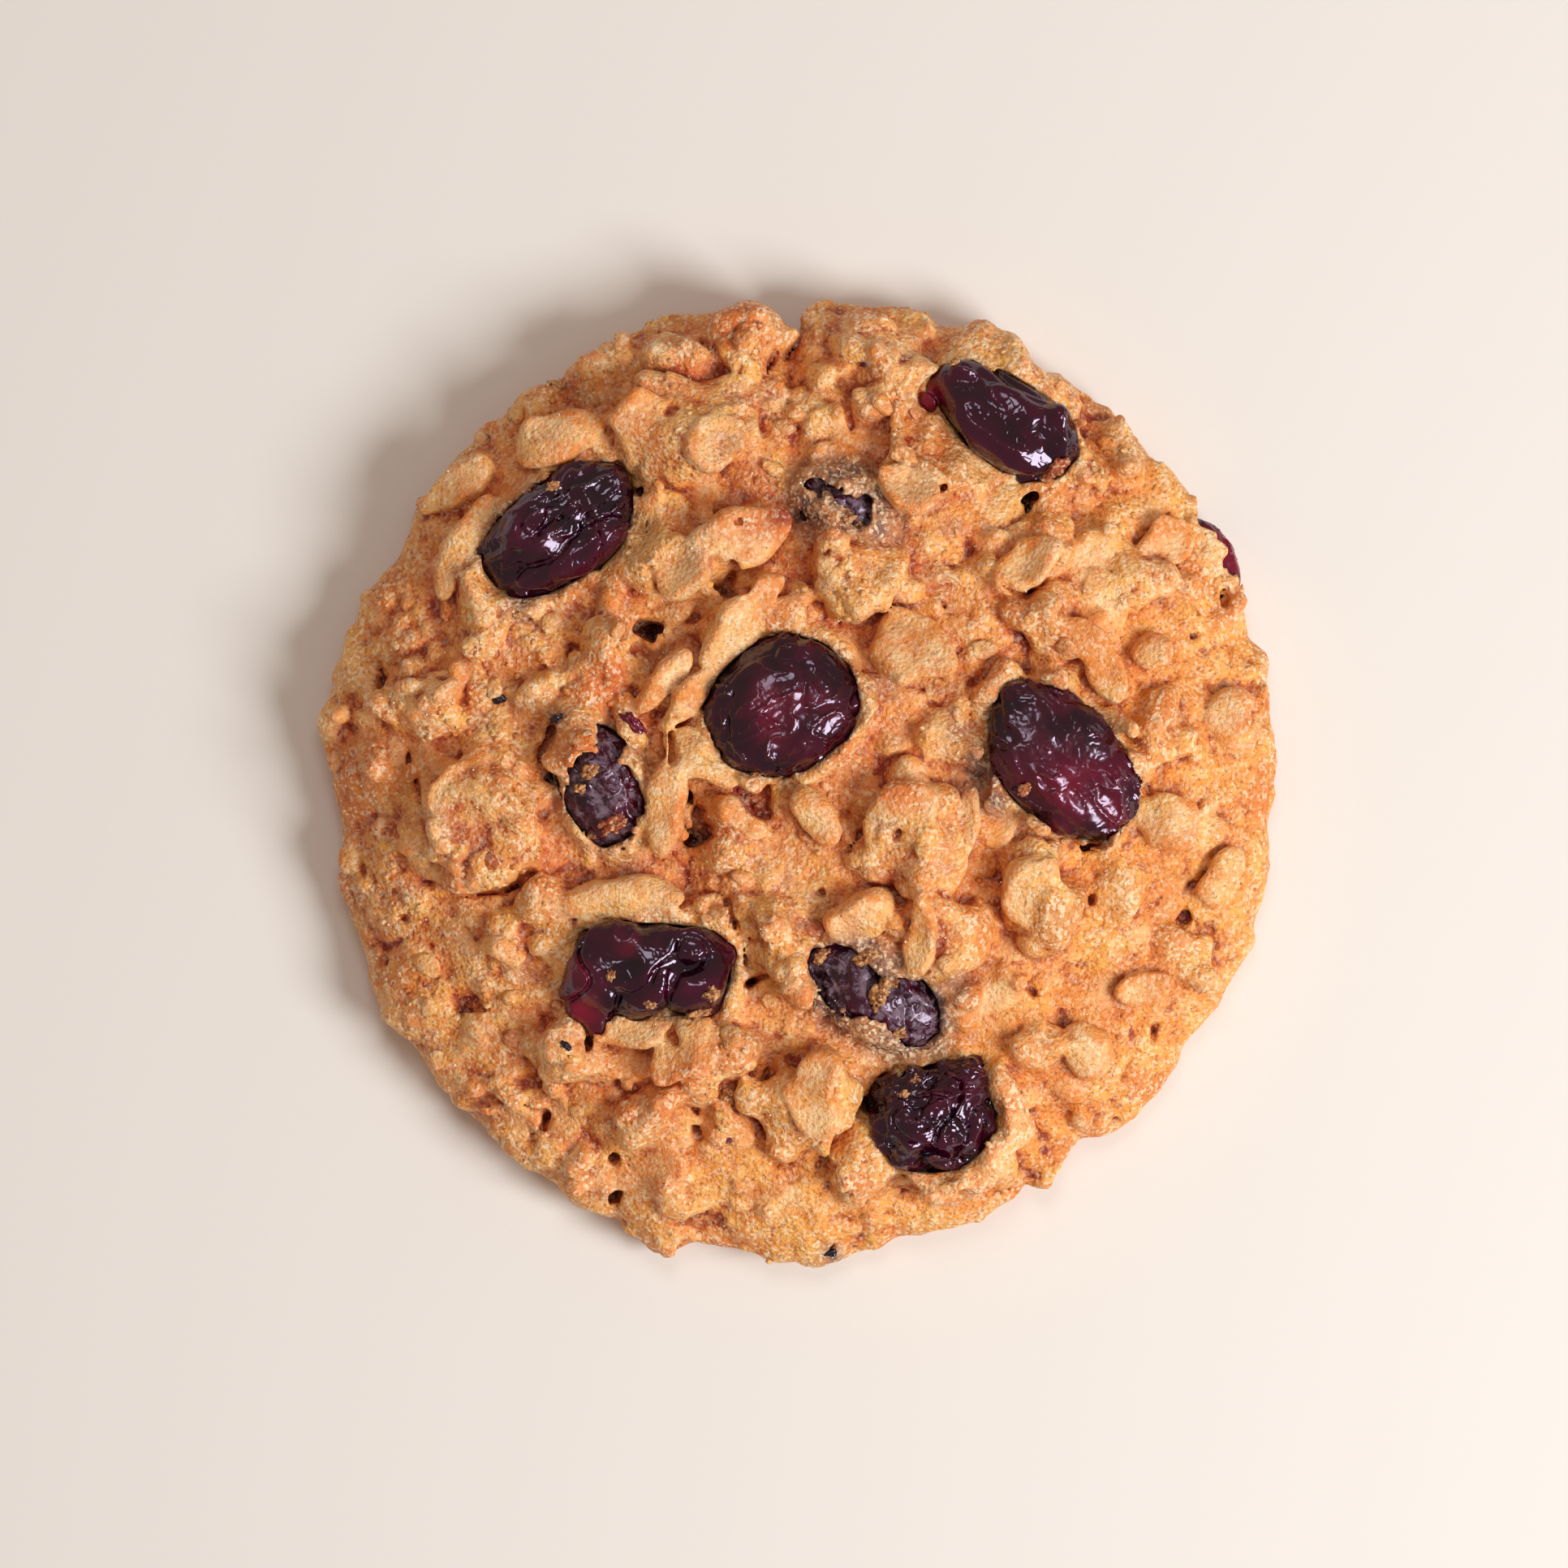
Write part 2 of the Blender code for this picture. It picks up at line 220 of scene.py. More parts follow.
# Oat flakes under or on the dough, written as the clumps are.
FLAKES = (
    ("long rim flake", (690, 545), 7.2, 3.6, 1.3, 18, 1.1, 14, 100),
    ("flake on the top left clump", (880, 555), 5.4, 4.2, 1.2, 20, 2.2, 16, 200),
    ("left flake on that clump", (795, 535), 5.6, 4.6, 1.2, 50, 2.0, 14, 150),
    ("upper left rim flake", (567, 600), 6.4, 2.8, 1.2, 40, 0.9, 20, 130),
    ("left rim ridge", (573, 676), 9.0, 2.8, 1.4, 60, 0.9, 20, 150),
    ("flake on the tall clump", (800, 625), 4.2, 3.0, 1.2, 70, 1.4, 20, 30),
    ("pale flake under it", (838, 702), 5.6, 4.4, 1.3, 75, 1.6, 22, 0),
    ("caramelised flake", (908, 672), 8.2, 4.8, 1.4, 25, 1.6, 24, 110),
    ("flake over the centre berry", (912, 765), 8.6, 3.2, 1.2, 50, 1.2, 26, 140),
    ("first ridge left of the centre", (822, 838), 6.2, 2.0, 1.2, 52, 1.0, 30, 140),
    ("second ridge left of the centre", (852, 862), 6.6, 1.9, 1.2, 54, 1.1, 30, 140),
    ("pale cream flake", (1118, 610), 4.8, 3.8, 1.2, -20, 1.9, 16, 260),
    ("flake right of the centre", (1120, 800), 6.6, 6.0, 1.3, -30, 1.5, 14, 300),
    ("long flake on the right", (1352, 815), 7.6, 2.8, 1.1, -62, 0.9, 12, 30),
    ("sharp-edged flake", (1262, 700), 6.0, 3.0, 1.1, 38, 1.1, 30, 310),
    ("crescent on the big round clump", (566, 964), 5.2, 2.6, 1.2, 35, 1.5, 16, 150),
    ("long glossy flake", (768, 1106), 9.6, 3.0, 2.0, 4, 1.2, 16, 90),
    ("layered flake", (784, 1268), 6.8, 2.6, 1.0, 5, 1.0, 24, 270),
    ("flake under the lower berry", (845, 1290), 6.6, 3.4, 1.2, 55, 1.5, 20, 320),
    ("flake right of the left berry", (822, 995), 7.4, 3.2, 1.3, 85, 1.2, 16, 0),
    ("flake under the centre berry", (862, 935), 6.2, 3.4, 1.2, -30, 1.0, 14, 230),
    ("flake on the big ridge", (1105, 1000), 6.6, 5.0, 1.3, 40, 2.1, 16, 60),
    ("standing flake on the ridge", (1128, 1160), 6.6, 2.4, 1.2, 84, 1.9, 26, 0),
    ("flake below the ridge", (1060, 1130), 5.6, 3.6, 1.2, 35, 1.2, 20, 120),
    ("round flake on the right lump", (1268, 1098), 5.2, 6.0, 1.3, 10, 1.8, 10, 110),
    ("oval flake", (1003, 1340), 4.8, 6.8, 1.4, -8, 2.0, 10, 0),
    ("flake in the lower right", (1330, 1290), 4.6, 3.4, 1.1, -40, 0.9, 14, 0),
    ("flake left of the ridge", (1010, 1010), 4.6, 2.6, 1.1, -50, 0.9, 20, 50),
    ("upright flake", (1193, 1010), 4.6, 1.7, 1.1, 86, 1.3, 20, 0),
    ("chip right of the long flake", (1420, 800), 3.6, 2.4, 1.0, 20, 0.9, 14, 40),
    ("flake at the right rim", (1502, 1085), 5.0, 3.6, 1.0, 70, 0.6, 12, 20),
    ("flake over the slit", (1436, 1012), 5.4, 4.0, 1.1, -30, 0.7, 14, 330),
    ("flake high on the right", (1432, 672), 5.0, 3.8, 1.1, 40, 0.9, 16, 60),
    ("flake low on the right", (1405, 1218), 4.6, 3.2, 1.0, 10, 0.8, 14, 300),
    ("flake at the far right", (1515, 880), 4.6, 3.4, 1.0, 85, 0.6, 12, 0),
)

# The berries: how wide their soft folds are and how high, the same for the sharp wrinkles on
# them, how deep their creases are, how much longer the folds are along the berry, how deep the
# middle is dented, and how boxy the berry is, from 2 for an egg. All but the stretch and the
# boxiness in mm.
BERRIES = {
    "cranberry_upper_right": (3.6, 0.65, 1.9, 0.12, 0.50, 1.6, 0.1, 2.1),
    "cranberry_upper_left": (2.8, 0.70, 1.5, 0.26, 0.45, 1.3, 0.0, 2.2),
    "cranberry_centre": (3.8, 0.45, 1.3, 0.20, 0.25, 1.0, 0.2, 2.1),
    "cranberry_right": (4.2, 0.40, 1.3, 0.20, 0.20, 1.3, 1.0, 2.1),
    "cranberry_lower_left": (3.4, 0.85, 2.8, 0.08, 0.50, 0.9, 0.0, 2.6),
    "cranberry_lower_right": (2.2, 0.65, 1.1, 0.28, 0.50, 1.0, 0.1, 2.2),
    "cranberry_left_buried": (2.4, 0.30, 0.9, 0.20, 0.15, 1.2, 0.0, 2.1),
    "cranberry_lower_buried": (2.6, 0.40, 0.9, 0.22, 0.20, 1.0, 0.0, 2.1),
    "cranberry_peek": (1.6, 0.30, 0.8, 0.15, 0.15, 1.0, 0.0, 2.0),
    "cranberry_rim": (2.0, 0.20, 0.9, 0.10, 0.05, 1.0, 0.0, 2.0),
}
FILMED = ("cranberry_left_buried", "cranberry_lower_buried", "cranberry_peek")
BURIED = FILMED + ("cranberry_rim",)

# Lobes that a berry has beside its egg-shaped body: berry, name, pixel, length, width and
# thickness in mm, turn in degrees, and height over the berry's middle in mm.
LOBES = (
    ("cranberry_upper_right", "end lobe", (1294, 545), 4.2, 3.6, 4.2, 60, 0.6),
    ("cranberry_upper_right", "pointed tip", (1305, 512), 1.7, 1.3, 1.6, 80, 1.6),
    ("cranberry_upper_right", "torn skin", (1152, 487), 3.4, 3.0, 1.6, 60, 0.0),
    ("cranberry_lower_left", "flap", (726, 1240), 4.4, 3.4, 2.2, -50, -0.5),
    ("cranberry_lower_left", "shoulder", (760, 1160), 4.6, 3.4, 4.0, 10, 0.8),
    ("cranberry_upper_left", "shoulder", (740, 600), 4.6, 2.8, 4.0, 30, 0.4),
    ("cranberry_lower_right", "knob", (1185, 1325), 3.6, 3.0, 4.2, 40, 0.8),
    ("cranberry_lower_right", "left knob", (1095, 1345), 3.0, 2.8, 3.4, 0, 0.2),
)

# Crumbs that lie on the berries and the dough: pixel, length, width and thickness in mm, turn in
# degrees, and how much each is toasted, from 0 to 1.
CRUMBS = (
    ((683, 600), 0.9, 0.7, 0.5, 20, 0.3), ((754, 1200), 0.9, 0.6, 0.5, 80, 0.1),
    ((802, 1236), 0.9, 0.6, 0.5, 0, 0.2), ((877, 1223), 1.2, 1.0, 0.6, 30, 0.0),
    ((862, 1246), 1.8, 0.8, 0.6, 20, 0.0), ((1127, 1331), 0.9, 0.7, 0.6, 40, 0.4),
    ((1113, 1346), 0.8, 0.6, 0.5, 0, 0.4), ((1260, 972), 1.1, 0.8, 0.6, 50, 0.7),
    ((755, 1016), 2.2, 1.3, 1.0, 25, 0.9), ((1300, 576), 1.9, 1.2, 0.6, 40, 0.9),
    ((1288, 590), 1.0, 0.8, 0.6, 0, 0.5), ((900, 1349), 1.3, 1.1, 0.9, 10, 0.2),
    ((684, 470), 1.2, 1.0, 0.9, 0, 0.0), ((731, 1030), 0.7, 0.5, 0.4, 0, 0.2),
    ((640, 758), 1.0, 0.7, 0.5, 0, 0.2),
    ((1100, 1210), 0.8, 0.7, 0.6, 0, 0.1), ((1056, 652), 0.9, 0.7, 0.6, 30, 0.1),
    ((1176, 448), 0.7, 0.6, 0.4, 0, 0.3), ((931, 955), 0.8, 0.5, 0.4, 10, 0.2),
    ((1084, 1224), 2.2, 1.2, 1.1, 70, 0.2), ((1066, 1180), 1.6, 1.0, 0.9, 20, 0.1),
    ((1012, 1178), 1.4, 0.9, 0.8, 40, 0.2), ((1108, 1272), 1.0, 0.8, 0.6, 0, 0.1),
    ((728, 950), 1.3, 0.9, 0.8, 30, 0.4), ((716, 972), 0.9, 0.7, 0.6, 0, 0.3),
    ((1046, 640), 0.9, 0.7, 0.6, 30, 0.1),
)

# Torn bits of cranberry on the dough and grains of sugar, written as the crumbs are. The last
# number says how ruby red a bit is, and is 0 for sugar.
BERRY_BITS = (
    ((782, 892), 1.9, 1.0, 0.7, -40, 0.9), ((688, 886), 1.1, 0.6, 0.5, 20, 0.1),
    ((678, 958), 0.9, 0.6, 0.5, 70, 0.1), ((615, 862), 1.2, 0.6, 0.5, 10, 0.0),
    ((699, 1287), 0.9, 0.5, 0.4, -30, 0.0), ((1022, 1545), 1.0, 0.5, 0.4, 0, 0.0),
    ((1064, 450), 0.5, 0.4, 0.3, 0, 0.6), ((897, 1404), 0.6, 0.4, 0.3, 0, 0.8),
)
SUGAR_DOTS = (
    ((982, 424), 0.8, 0.7, 0.7, 0, 0.0), ((684, 469), 0.6, 0.5, 0.5, 0, 0.0),
)

# Dough that lies on the buried berries, written as the clumps are.
COVERS = (
    ("crumbs over the left berry", (712, 926), 3.8, 4.8, 2.6, 0, 1.3, 0, 0),
    ("crumbs right of the strip", (776, 900), 1.8, 3.6, 2.2, 20, 0.8, 0, 0),
    ("dough over the lower berry", (1092, 1184), 4.2, 2.6, 2.2, -25, 0.7, 0, 0),
    ("crumb on the lower berry's neck", (1080, 1222), 1.0, 1.6, 1.4, 10, 1.2, 0, 0),
    ("crumb on the lower berry's end", (1008, 1180), 1.6, 1.0, 1.6, 40, 0.6, 0, 0),
)

# Where the buried berries show through their skin of dough: berry, pixel, then the length and
# width of the opening in mm and its turn in degrees.
OPENINGS = (
    ("cranberry_peek", (1060, 632), 3.0, 1.9, 62),
    ("cranberry_peek", (1034, 613), 2.4, 1.1, -35),
    ("cranberry_peek", (1002, 600), 2.2, 1.4, -40),
    ("cranberry_rim", (1518, 674), 3.0, 1.5, -50),
    ("cranberry_lower_buried", (1042, 1207), 7.4, 4.6, -38),
    ("cranberry_lower_buried", (1130, 1248), 6.2, 5.4, -40),
    ("cranberry_lower_buried", (1086, 1238), 4.4, 2.8, -25),
    ("cranberry_left_buried", (744, 984), 8.2, 6.0, -76),
    ("cranberry_left_buried", (752, 908), 4.6, 2.2, -80),
)

# The berries that stain the dough round them, how far in mm, and how much.
STAINED_BY = (
    ("cranberry_left_buried", 0.9, 0.7), ("cranberry_lower_buried", 1.3, 1.0),
    ("cranberry_peek", 1.3, 1.0), ("cranberry_right", 0.5, 0.5), ("cranberry_centre", 0.5, 0.5),
    ("cranberry_upper_left", 0.5, 0.5), ("cranberry_lower_left", 0.4, 0.4),
)

# Where a berry's skin is thin and ruby red: name, pixel, radius in mm, strength.
RUBY = (
    ("left edge of the lower left berry", (706, 1190), 1.5, 0.8),
    ("its flap", (722, 1248), 1.9, 1.0),
    ("fold of the lower left berry", (777, 1172), 1.2, 0.5),
    ("left end of the upper right berry", (1140, 490), 1.9, 0.9),
    ("sliver in the rim", (1512, 678), 3.0, 1.0),
    ("lower edge of the right berry", (1376, 1000), 2.0, 0.6),
    ("end of the right berry", (1300, 1022), 2.0, 0.4),
    ("right berry", (1310, 940), 6.0, 0.55),
    ("centre berry", (965, 870), 5.0, 0.45),
    ("upper left berry", (690, 650), 4.0, 0.25),
    ("right side of the left berry", (775, 985), 2.6, 0.5),
)

# Stained places: name, pixel, radius in mm, strength.
STAINS = (
    ("left of the right berry", (1208, 950), 2.0, 1.0),
    ("above the right berry's stain", (1185, 900), 1.2, 0.6),
    ("below it", (1226, 990), 1.3, 0.8),
    ("beside the lower berry", (1180, 1215), 1.4, 0.8),
    ("above the lower berry", (1055, 1165), 1.2, 0.8),
    ("under the upper left berry", (640, 745), 1.6, 0.8),
    ("right of the peek", (1082, 656), 1.3, 0.9),
    ("over the long glossy flake", (775, 1068), 1.6, 0.55),
    ("above the left berry", (690, 885), 1.0, 0.8),
    ("left of the peek", (1003, 603), 0.9, 0.8),
    ("right of the centre berry", (1085, 850), 1.2, 0.5),
    ("on the low rim", (1022, 1548), 1.2, 0.8),
    ("under the ridge", (1002, 1105), 0.9, 0.5),
)

# Toasted places: name, pixel, radius in mm, strength.
TOASTED = (
    ("tip of the caramelised flake", (965, 636), 1.7, 1.6),
    ("left of it", (930, 650), 1.2, 0.6),
    ("over the left berry", (745, 835), 2.6, 0.9),
    ("crumbs over the left berry", (716, 930), 2.0, 0.6),
    ("top of the big ridge", (1110, 975), 2.0, 0.7),
    ("left end of the ridge", (1030, 1090), 1.6, 0.6),
    ("left lump of the low middle", (845, 1320), 3.0, 0.4),
    ("rim by the notch", (905, 400), 2.6, 0.6),
    ("left rim", (450, 960), 4.0, 0.5),
    ("top left lump", (800, 540), 2.6, 0.4),
    ("lower left rim", (600, 1350), 5.0, 0.4),
    ("low rim", (800, 1450), 5.0, 0.4),
    ("right rim", (1560, 900), 3.0, 0.3),
    ("lower right", (1310, 1350), 3.0, 0.35),
)

# Cracks and crevices in the crumb: name, width and depth in mm, then the route in pixels.
CRACKS = (
    ("notch groove", 0.9, 2.6, ((980, 352), (979, 385), (976, 418), (968, 442))),
    ("curved crevice", 0.5, 1.0, ((955, 430), (948, 450), (954, 475))),
    ("groove left of the notch", 0.6, 1.3, ((855, 377), (860, 410), (871, 450))),
    ("second groove left of it", 0.5, 1.1, ((782, 409), (776, 440), (770, 462))),
    ("left of the top left clump", 0.7, 1.6, ((749, 482), (755, 520), (762, 560), (778, 590))),
    ("below the caramelised flake", 1.0, 1.8, ((866, 700), (893, 720), (926, 728))),
    ("above the lump by the centre", 0.5, 1.3, ((1148, 742), (1168, 762), (1190, 756), (1212, 772))),
    ("under the sharp-edged flake", 0.5, 1.0, ((1232, 728), (1262, 730), (1288, 720))),
    ("under the upper right berry", 0.9, 1.6, ((1237, 653), (1262, 624), (1282, 606))),
    ("under the flake by the centre", 0.5, 1.2, ((1075, 834), (1110, 852), (1148, 846))),
    ("left of the right berry", 0.6, 1.2, ((1196, 862), (1206, 905), (1204, 940))),
    ("under the right berry", 0.7, 1.3, ((1330, 1043), (1356, 1040))),
    ("left of the big ridge", 0.6, 1.3, ((1040, 1010), (1056, 985), (1068, 968))),
    ("left of the tall clump", 0.9, 1.8, ((905, 1140), (915, 1162), (925, 1192), (944, 1220))),
    ("right of the tall clump", 0.5, 1.4, ((1003, 1120), (1000, 1150), (1006, 1178))),
    ("under the lower left berry", 0.6, 1.4, ((722, 1262), (734, 1282))),
    ("beside the layered flake", 0.5, 1.4, ((838, 1262), (842, 1290))),
    ("under the big round flake", 0.5, 1.2, ((560, 1112), (600, 1098), (640, 1084))),
    ("right of the left berry's flake", 0.6, 1.3, ((850, 985), (858, 1010), (862, 1034))),
    ("left of the left berry", 0.6, 1.4, ((676, 905), (672, 940), (680, 975))),
    ("dark gap on the left", 0.6, 1.4, ((606, 856), (622, 862), (636, 870))),
    ("left wall groove", 0.6, 1.3, ((473, 816), (484, 870), (502, 930), (521, 1000))),
    ("lower left groove", 0.6, 1.2, ((640, 1358), (664, 1378), (676, 1394))),
    ("left of the lower right berry", 0.9, 1.6, ((1080, 1316), (1070, 1345), (1080, 1378))),
    ("round the oval flake", 0.4, 0.9, ((955, 1300), (948, 1345), (962, 1390))),
)

# Holes in the crumb: name, pixel, then length, width and depth in mm, and turn.
HOLES = (
    ("under the caramelised flake", (893, 722), 2.8, 1.6, 2.8, 20),
    ("beside it", (903, 735), 1.4, 1.2, 2.0, 80),
    ("dark hole above the ridges", (803, 778), 2.2, 1.9, 4.0, 45),
    ("pit at the right rim", (1502, 741), 1.9, 1.1, 0.8, 70),
    ("under the right berry", (1347, 1043), 1.7, 0.9, 1.6, 20),
    ("under the upper right berry", (1265, 620), 2.2, 1.1, 1.8, 40),
    ("above the pale cream flake", (1161, 598), 1.2, 0.9, 1.2, 0),
    ("beside the layered flake", (838, 1274), 1.0, 0.8, 1.4, 0),
    ("under the lower left berry", (728, 1284), 1.2, 1.0, 1.6, 0),
    ("left of the tall clump", (927, 1205), 1.8, 0.8, 1.6, 30),
    ("under the centre berry", (829, 922), 1.8, 0.9, 1.8, 50),
    ("low in the left middle", (857, 1009), 0.9, 0.8, 1.2, 0),
    ("in the left wall", (487, 1126), 1.2, 0.8, 1.2, 0),
    ("in the lower left", (666, 1379), 1.3, 1.0, 1.5, 0),
    ("at the foot of it", (761, 1431), 1.4, 1.1, 1.6, 0),
    ("by the low rim", (763, 1476), 1.4, 0.9, 1.4, 30),
    ("slit on the right", (1457, 1126), 2.4, 0.9, 1.1, 60),
    ("left of the ridge", (1002, 1105), 1.1, 0.8, 1.2, 0),
    ("below the top left clump", (785, 603), 1.4, 1.0, 1.4, 40),
    ("on the big ridge", (1113, 1030), 0.8, 0.6, 0.9, 0),
    ("on the right slope", (1340, 1115), 0.9, 0.7, 1.0, 0),
)

# The most bits on a square metre before they are thinned out to their spacing.
DENSEST = 4e6

# What lies scattered over the dough: the mark that says where, the spacing, smallest and largest
# size, the shape as shares of it, how high the bits stand, how far they lean in radians, how
# uneven they are, how pale, how finely they are divided, and the seed.
SCATTERED = {
    "oat_bits": dict(
        where="flat", spacing=3.2 * MM, smallest=1.1 * MM, largest=2.4 * MM, shape=(1.0, 0.7, 0.26),
        depth=0.05, lean=0.25, unevenness=1.2 * MM, oat=0.8, detail=2, seed=4),
    "crumb_bits": dict(
        where="crumbly", spacing=0.8 * MM, smallest=0.25 * MM, largest=0.8 * MM,
        shape=(1.0, 0.85, 0.8), depth=0.0, lean=0.5, unevenness=0.5 * MM, oat=0.2, detail=1, seed=5),
    "sugar_grains": dict(
        where="open", spacing=2.8 * MM, smallest=0.10 * MM, largest=0.22 * MM,
        shape=(1.0, 0.9, 0.9), depth=0.3, lean=1.0, unevenness=0.05 * MM, oat=0.0, detail=1, seed=6),
}

# The studio: each light's azimuth and elevation in degrees, its distance and width in metres, its
# watts and its colour, then the light from all round, the camera and the floor.
LIGHTS = {
    "key": (-24, 44, 0.6, 0.30, 3.2, (1.0, 1.0, 0.995)),
    "top": (95, 70, 0.7, 0.24, 0.62, (1.0, 0.97, 0.97)),
}
ROOM_COLOUR = (1.0, 0.77, 0.62, 1.0)
ROOM_STRENGTH = 0.32
CAMERA_DISTANCE = 1.2
CAMERA_REACH = 10.0
SENSOR_WIDTH = 36.0
FLOOR_REACH = 1.5


# ---------------------------------------------------------------- the plan and the dome

def plan_point(pixel):
    """The place on the plan that a pixel of the photograph shows."""
    x = DOME_MIDDLE[0] + (pixel[0] - DOME_PIXEL[0]) * PHOTO_SCALE
    y = DOME_MIDDLE[1] + (DOME_PIXEL[1] - pixel[1]) * PHOTO_SCALE
    return x, y


def outline_radius(angle):
    """The outline's distance from the middle, for one angle or an array of them."""
    degrees = np.degrees(angle)
    radius = np.full(np.shape(angle), OUTLINE_RADIUS)
    for clock, half_width, step in OUTLINE_STEPS:
        away = (degrees - clock + 180.0) % 360.0 - 180.0
        radius = radius + step * MM * np.exp(-(away / half_width) ** 2)
    for waves, step, start in OUTLINE_WAVES:
        radius = radius + step * MM * np.sin(waves * angle + start)
    return radius


def crown_height(share, angle):
    """The height that the dome would have without its rounded shoulder."""
    thick = 0.5 + 0.5 * np.cos(angle - THICK_SIDE)
    rim = RIM_HEIGHT_THIN + (RIM_HEIGHT_THICK - RIM_HEIGHT_THIN) * thick
    return rim + (CENTRE_HEIGHT - rim) * (1.0 - share ** 2)


def clock_and_reach(points):
    """Each point's angle round the dome's middle and its distance from it."""
    x = points[:, 0] - DOME_MIDDLE[0]
    y = points[:, 1] - DOME_MIDDLE[1]
    return np.arctan2(y, x), np.hypot(x, y)


def inside_rim(points):
    """How far inside the outline each point lies."""
    angle, reach = clock_and_reach(points)
    return outline_radius(angle) - reach


def calm_side(points):
    """1 at the right rim, where the dough is flat, fine and golden, and 0 at the left and middle."""
    angle, reach = clock_and_reach(points)
    facing = 0.5 + 0.5 * np.cos(angle - CALM_SIDE)
    return facing * np.clip(reach / (0.8 * OUTLINE_RADIUS), 0.0, 1.0)


def dome_height(x, y):
    """The plain dome's height at one place of the plan."""
    x -= DOME_MIDDLE[0]
    y -= DOME_MIDDLE[1]
    angle = math.atan2(y, x)
    share = min(1.0, math.hypot(x, y) / float(outline_radius(angle)))
    shoulder = math.sqrt(max(0.0, 1.0 - share ** SHOULDER_POWER))
    return WIDEST_HEIGHT + (float(crown_height(share, angle)) - WIDEST_HEIGHT) * shoulder


def spun(degrees):
    """A turn about the upright axis."""
    return Matrix.Rotation(math.radians(degrees), 3, "Z")


def half_size(length, width, thickness):
    """A piece's half sizes in metres, from its sizes in mm."""
    return np.array((length, width, thickness)) * 0.5 * MM


def dome_lean(x, y):
    """The turn that leans an upright thing over to stand square on the dome."""
    reach = 2.0 * MM
    rise_x = dome_height(x + reach, y) - dome_height(x - reach, y)
    rise_y = dome_height(x, y + reach) - dome_height(x, y - reach)
    upright = Vector((-rise_x, -rise_y, 2.0 * reach)).normalized()
    return Vector((0.0, 0.0, 1.0)).rotation_difference(upright).to_matrix()


# ---------------------------------------------------------------- smooth random fields

def spline_rows(places, step):
    """Weights that read a lattice with the given step at each place, as a cubic B-spline."""
    at = (places - places[0]) / step
    base = np.floor(at).astype(int)
    t = at - base
    weights = np.stack([(1 - t) ** 3, 3 * t ** 3 - 6 * t ** 2 + 4,
                        -3 * t ** 3 + 3 * t ** 2 + 3 * t + 1, t ** 3], axis=1) / 6.0
    rows = np.zeros((len(places), base[-1] + 4), np.float32)
    np.put_along_axis(rows, base[:, None] + np.arange(4), weights.astype(np.float32), axis=1)
    return rows


def grid_noise(axes, step, seed):
    """Smooth noise of about -1 to 1 on a whole grid, which changes over the given step."""
    rows = [spline_rows(places, step) for places in axes]
    lattice = np.random.default_rng(seed).uniform(-1.0, 1.0, [row.shape[1] for row in rows])
    field = lattice.astype(np.float32)
    for row in rows:
        field = np.tensordot(row, field, axes=(1, 0))
        field = np.moveaxis(field, 0, -1)
    return field * LATTICE_GAIN


def hashed(table, cell):
    """A lasting random entry of the table for each cell of a lattice."""
    key = table[cell[:, 0] & (HASHES - 1)]
    key = table[(key + cell[:, 1]) & (HASHES - 1)]
    return table[(key + cell[:, 2]) & (HASHES - 1)]


def corner_share(corner, part):
    """How much one corner of its cell counts for each place, by how far along the cell it is."""
    return np.where(np.array(corner) == 1, part, 1.0 - part).prod(axis=1)


def noise_at(points, step, seed):
    """Gradient noise of about -1 to 1 at any points."""
    rng = np.random.default_rng(seed)
    table = rng.permutation(HASHES)
    slopes = rng.normal(size=(HASHES, 3))
    slopes /= np.linalg.norm(slopes, axis=1)[:, None]
    at = np.asarray(points, np.float64) / step + NOISE_START
    base = np.floor(at).astype(int)
    part = at - base
    fade = part ** 3 * (part * (part * 6.0 - 15.0) + 10.0)
    total = np.zeros(len(at))
    for corner in np.ndindex(2, 2, 2):
        slope = slopes[hashed(table, base + corner)]
        total += np.einsum("ij,ij->i", slope, part - corner) * corner_share(corner, fade)
    return total * GRADIENT_GAIN


def crumb_height(points, size, seed):
    """Packed round crumbs of about this size: 1 on top of each one, 0 where they meet."""
    jitter = np.random.default_rng(seed).random((HASHES, 3)).astype(np.float32)
    table = np.random.default_rng(seed + 1).permutation(HASHES)
    at = (points / size + CRUMB_START).astype(np.float32)
    base = np.floor(at).astype(np.int32)
    nearest = np.full(len(at), np.inf, np.float32)
    for corner in np.ndindex(3, 3, 3):
        cell = base + np.array(corner, np.int32) - 1
        middle = cell + jitter[hashed(table, cell)]
        nearest = np.minimum(nearest, ((middle - at) ** 2).sum(axis=1))
    return np.sqrt(np.maximum(1.0 - nearest / CRUMB_REACH, 0.0))


# ---------------------------------------------------------------- the field

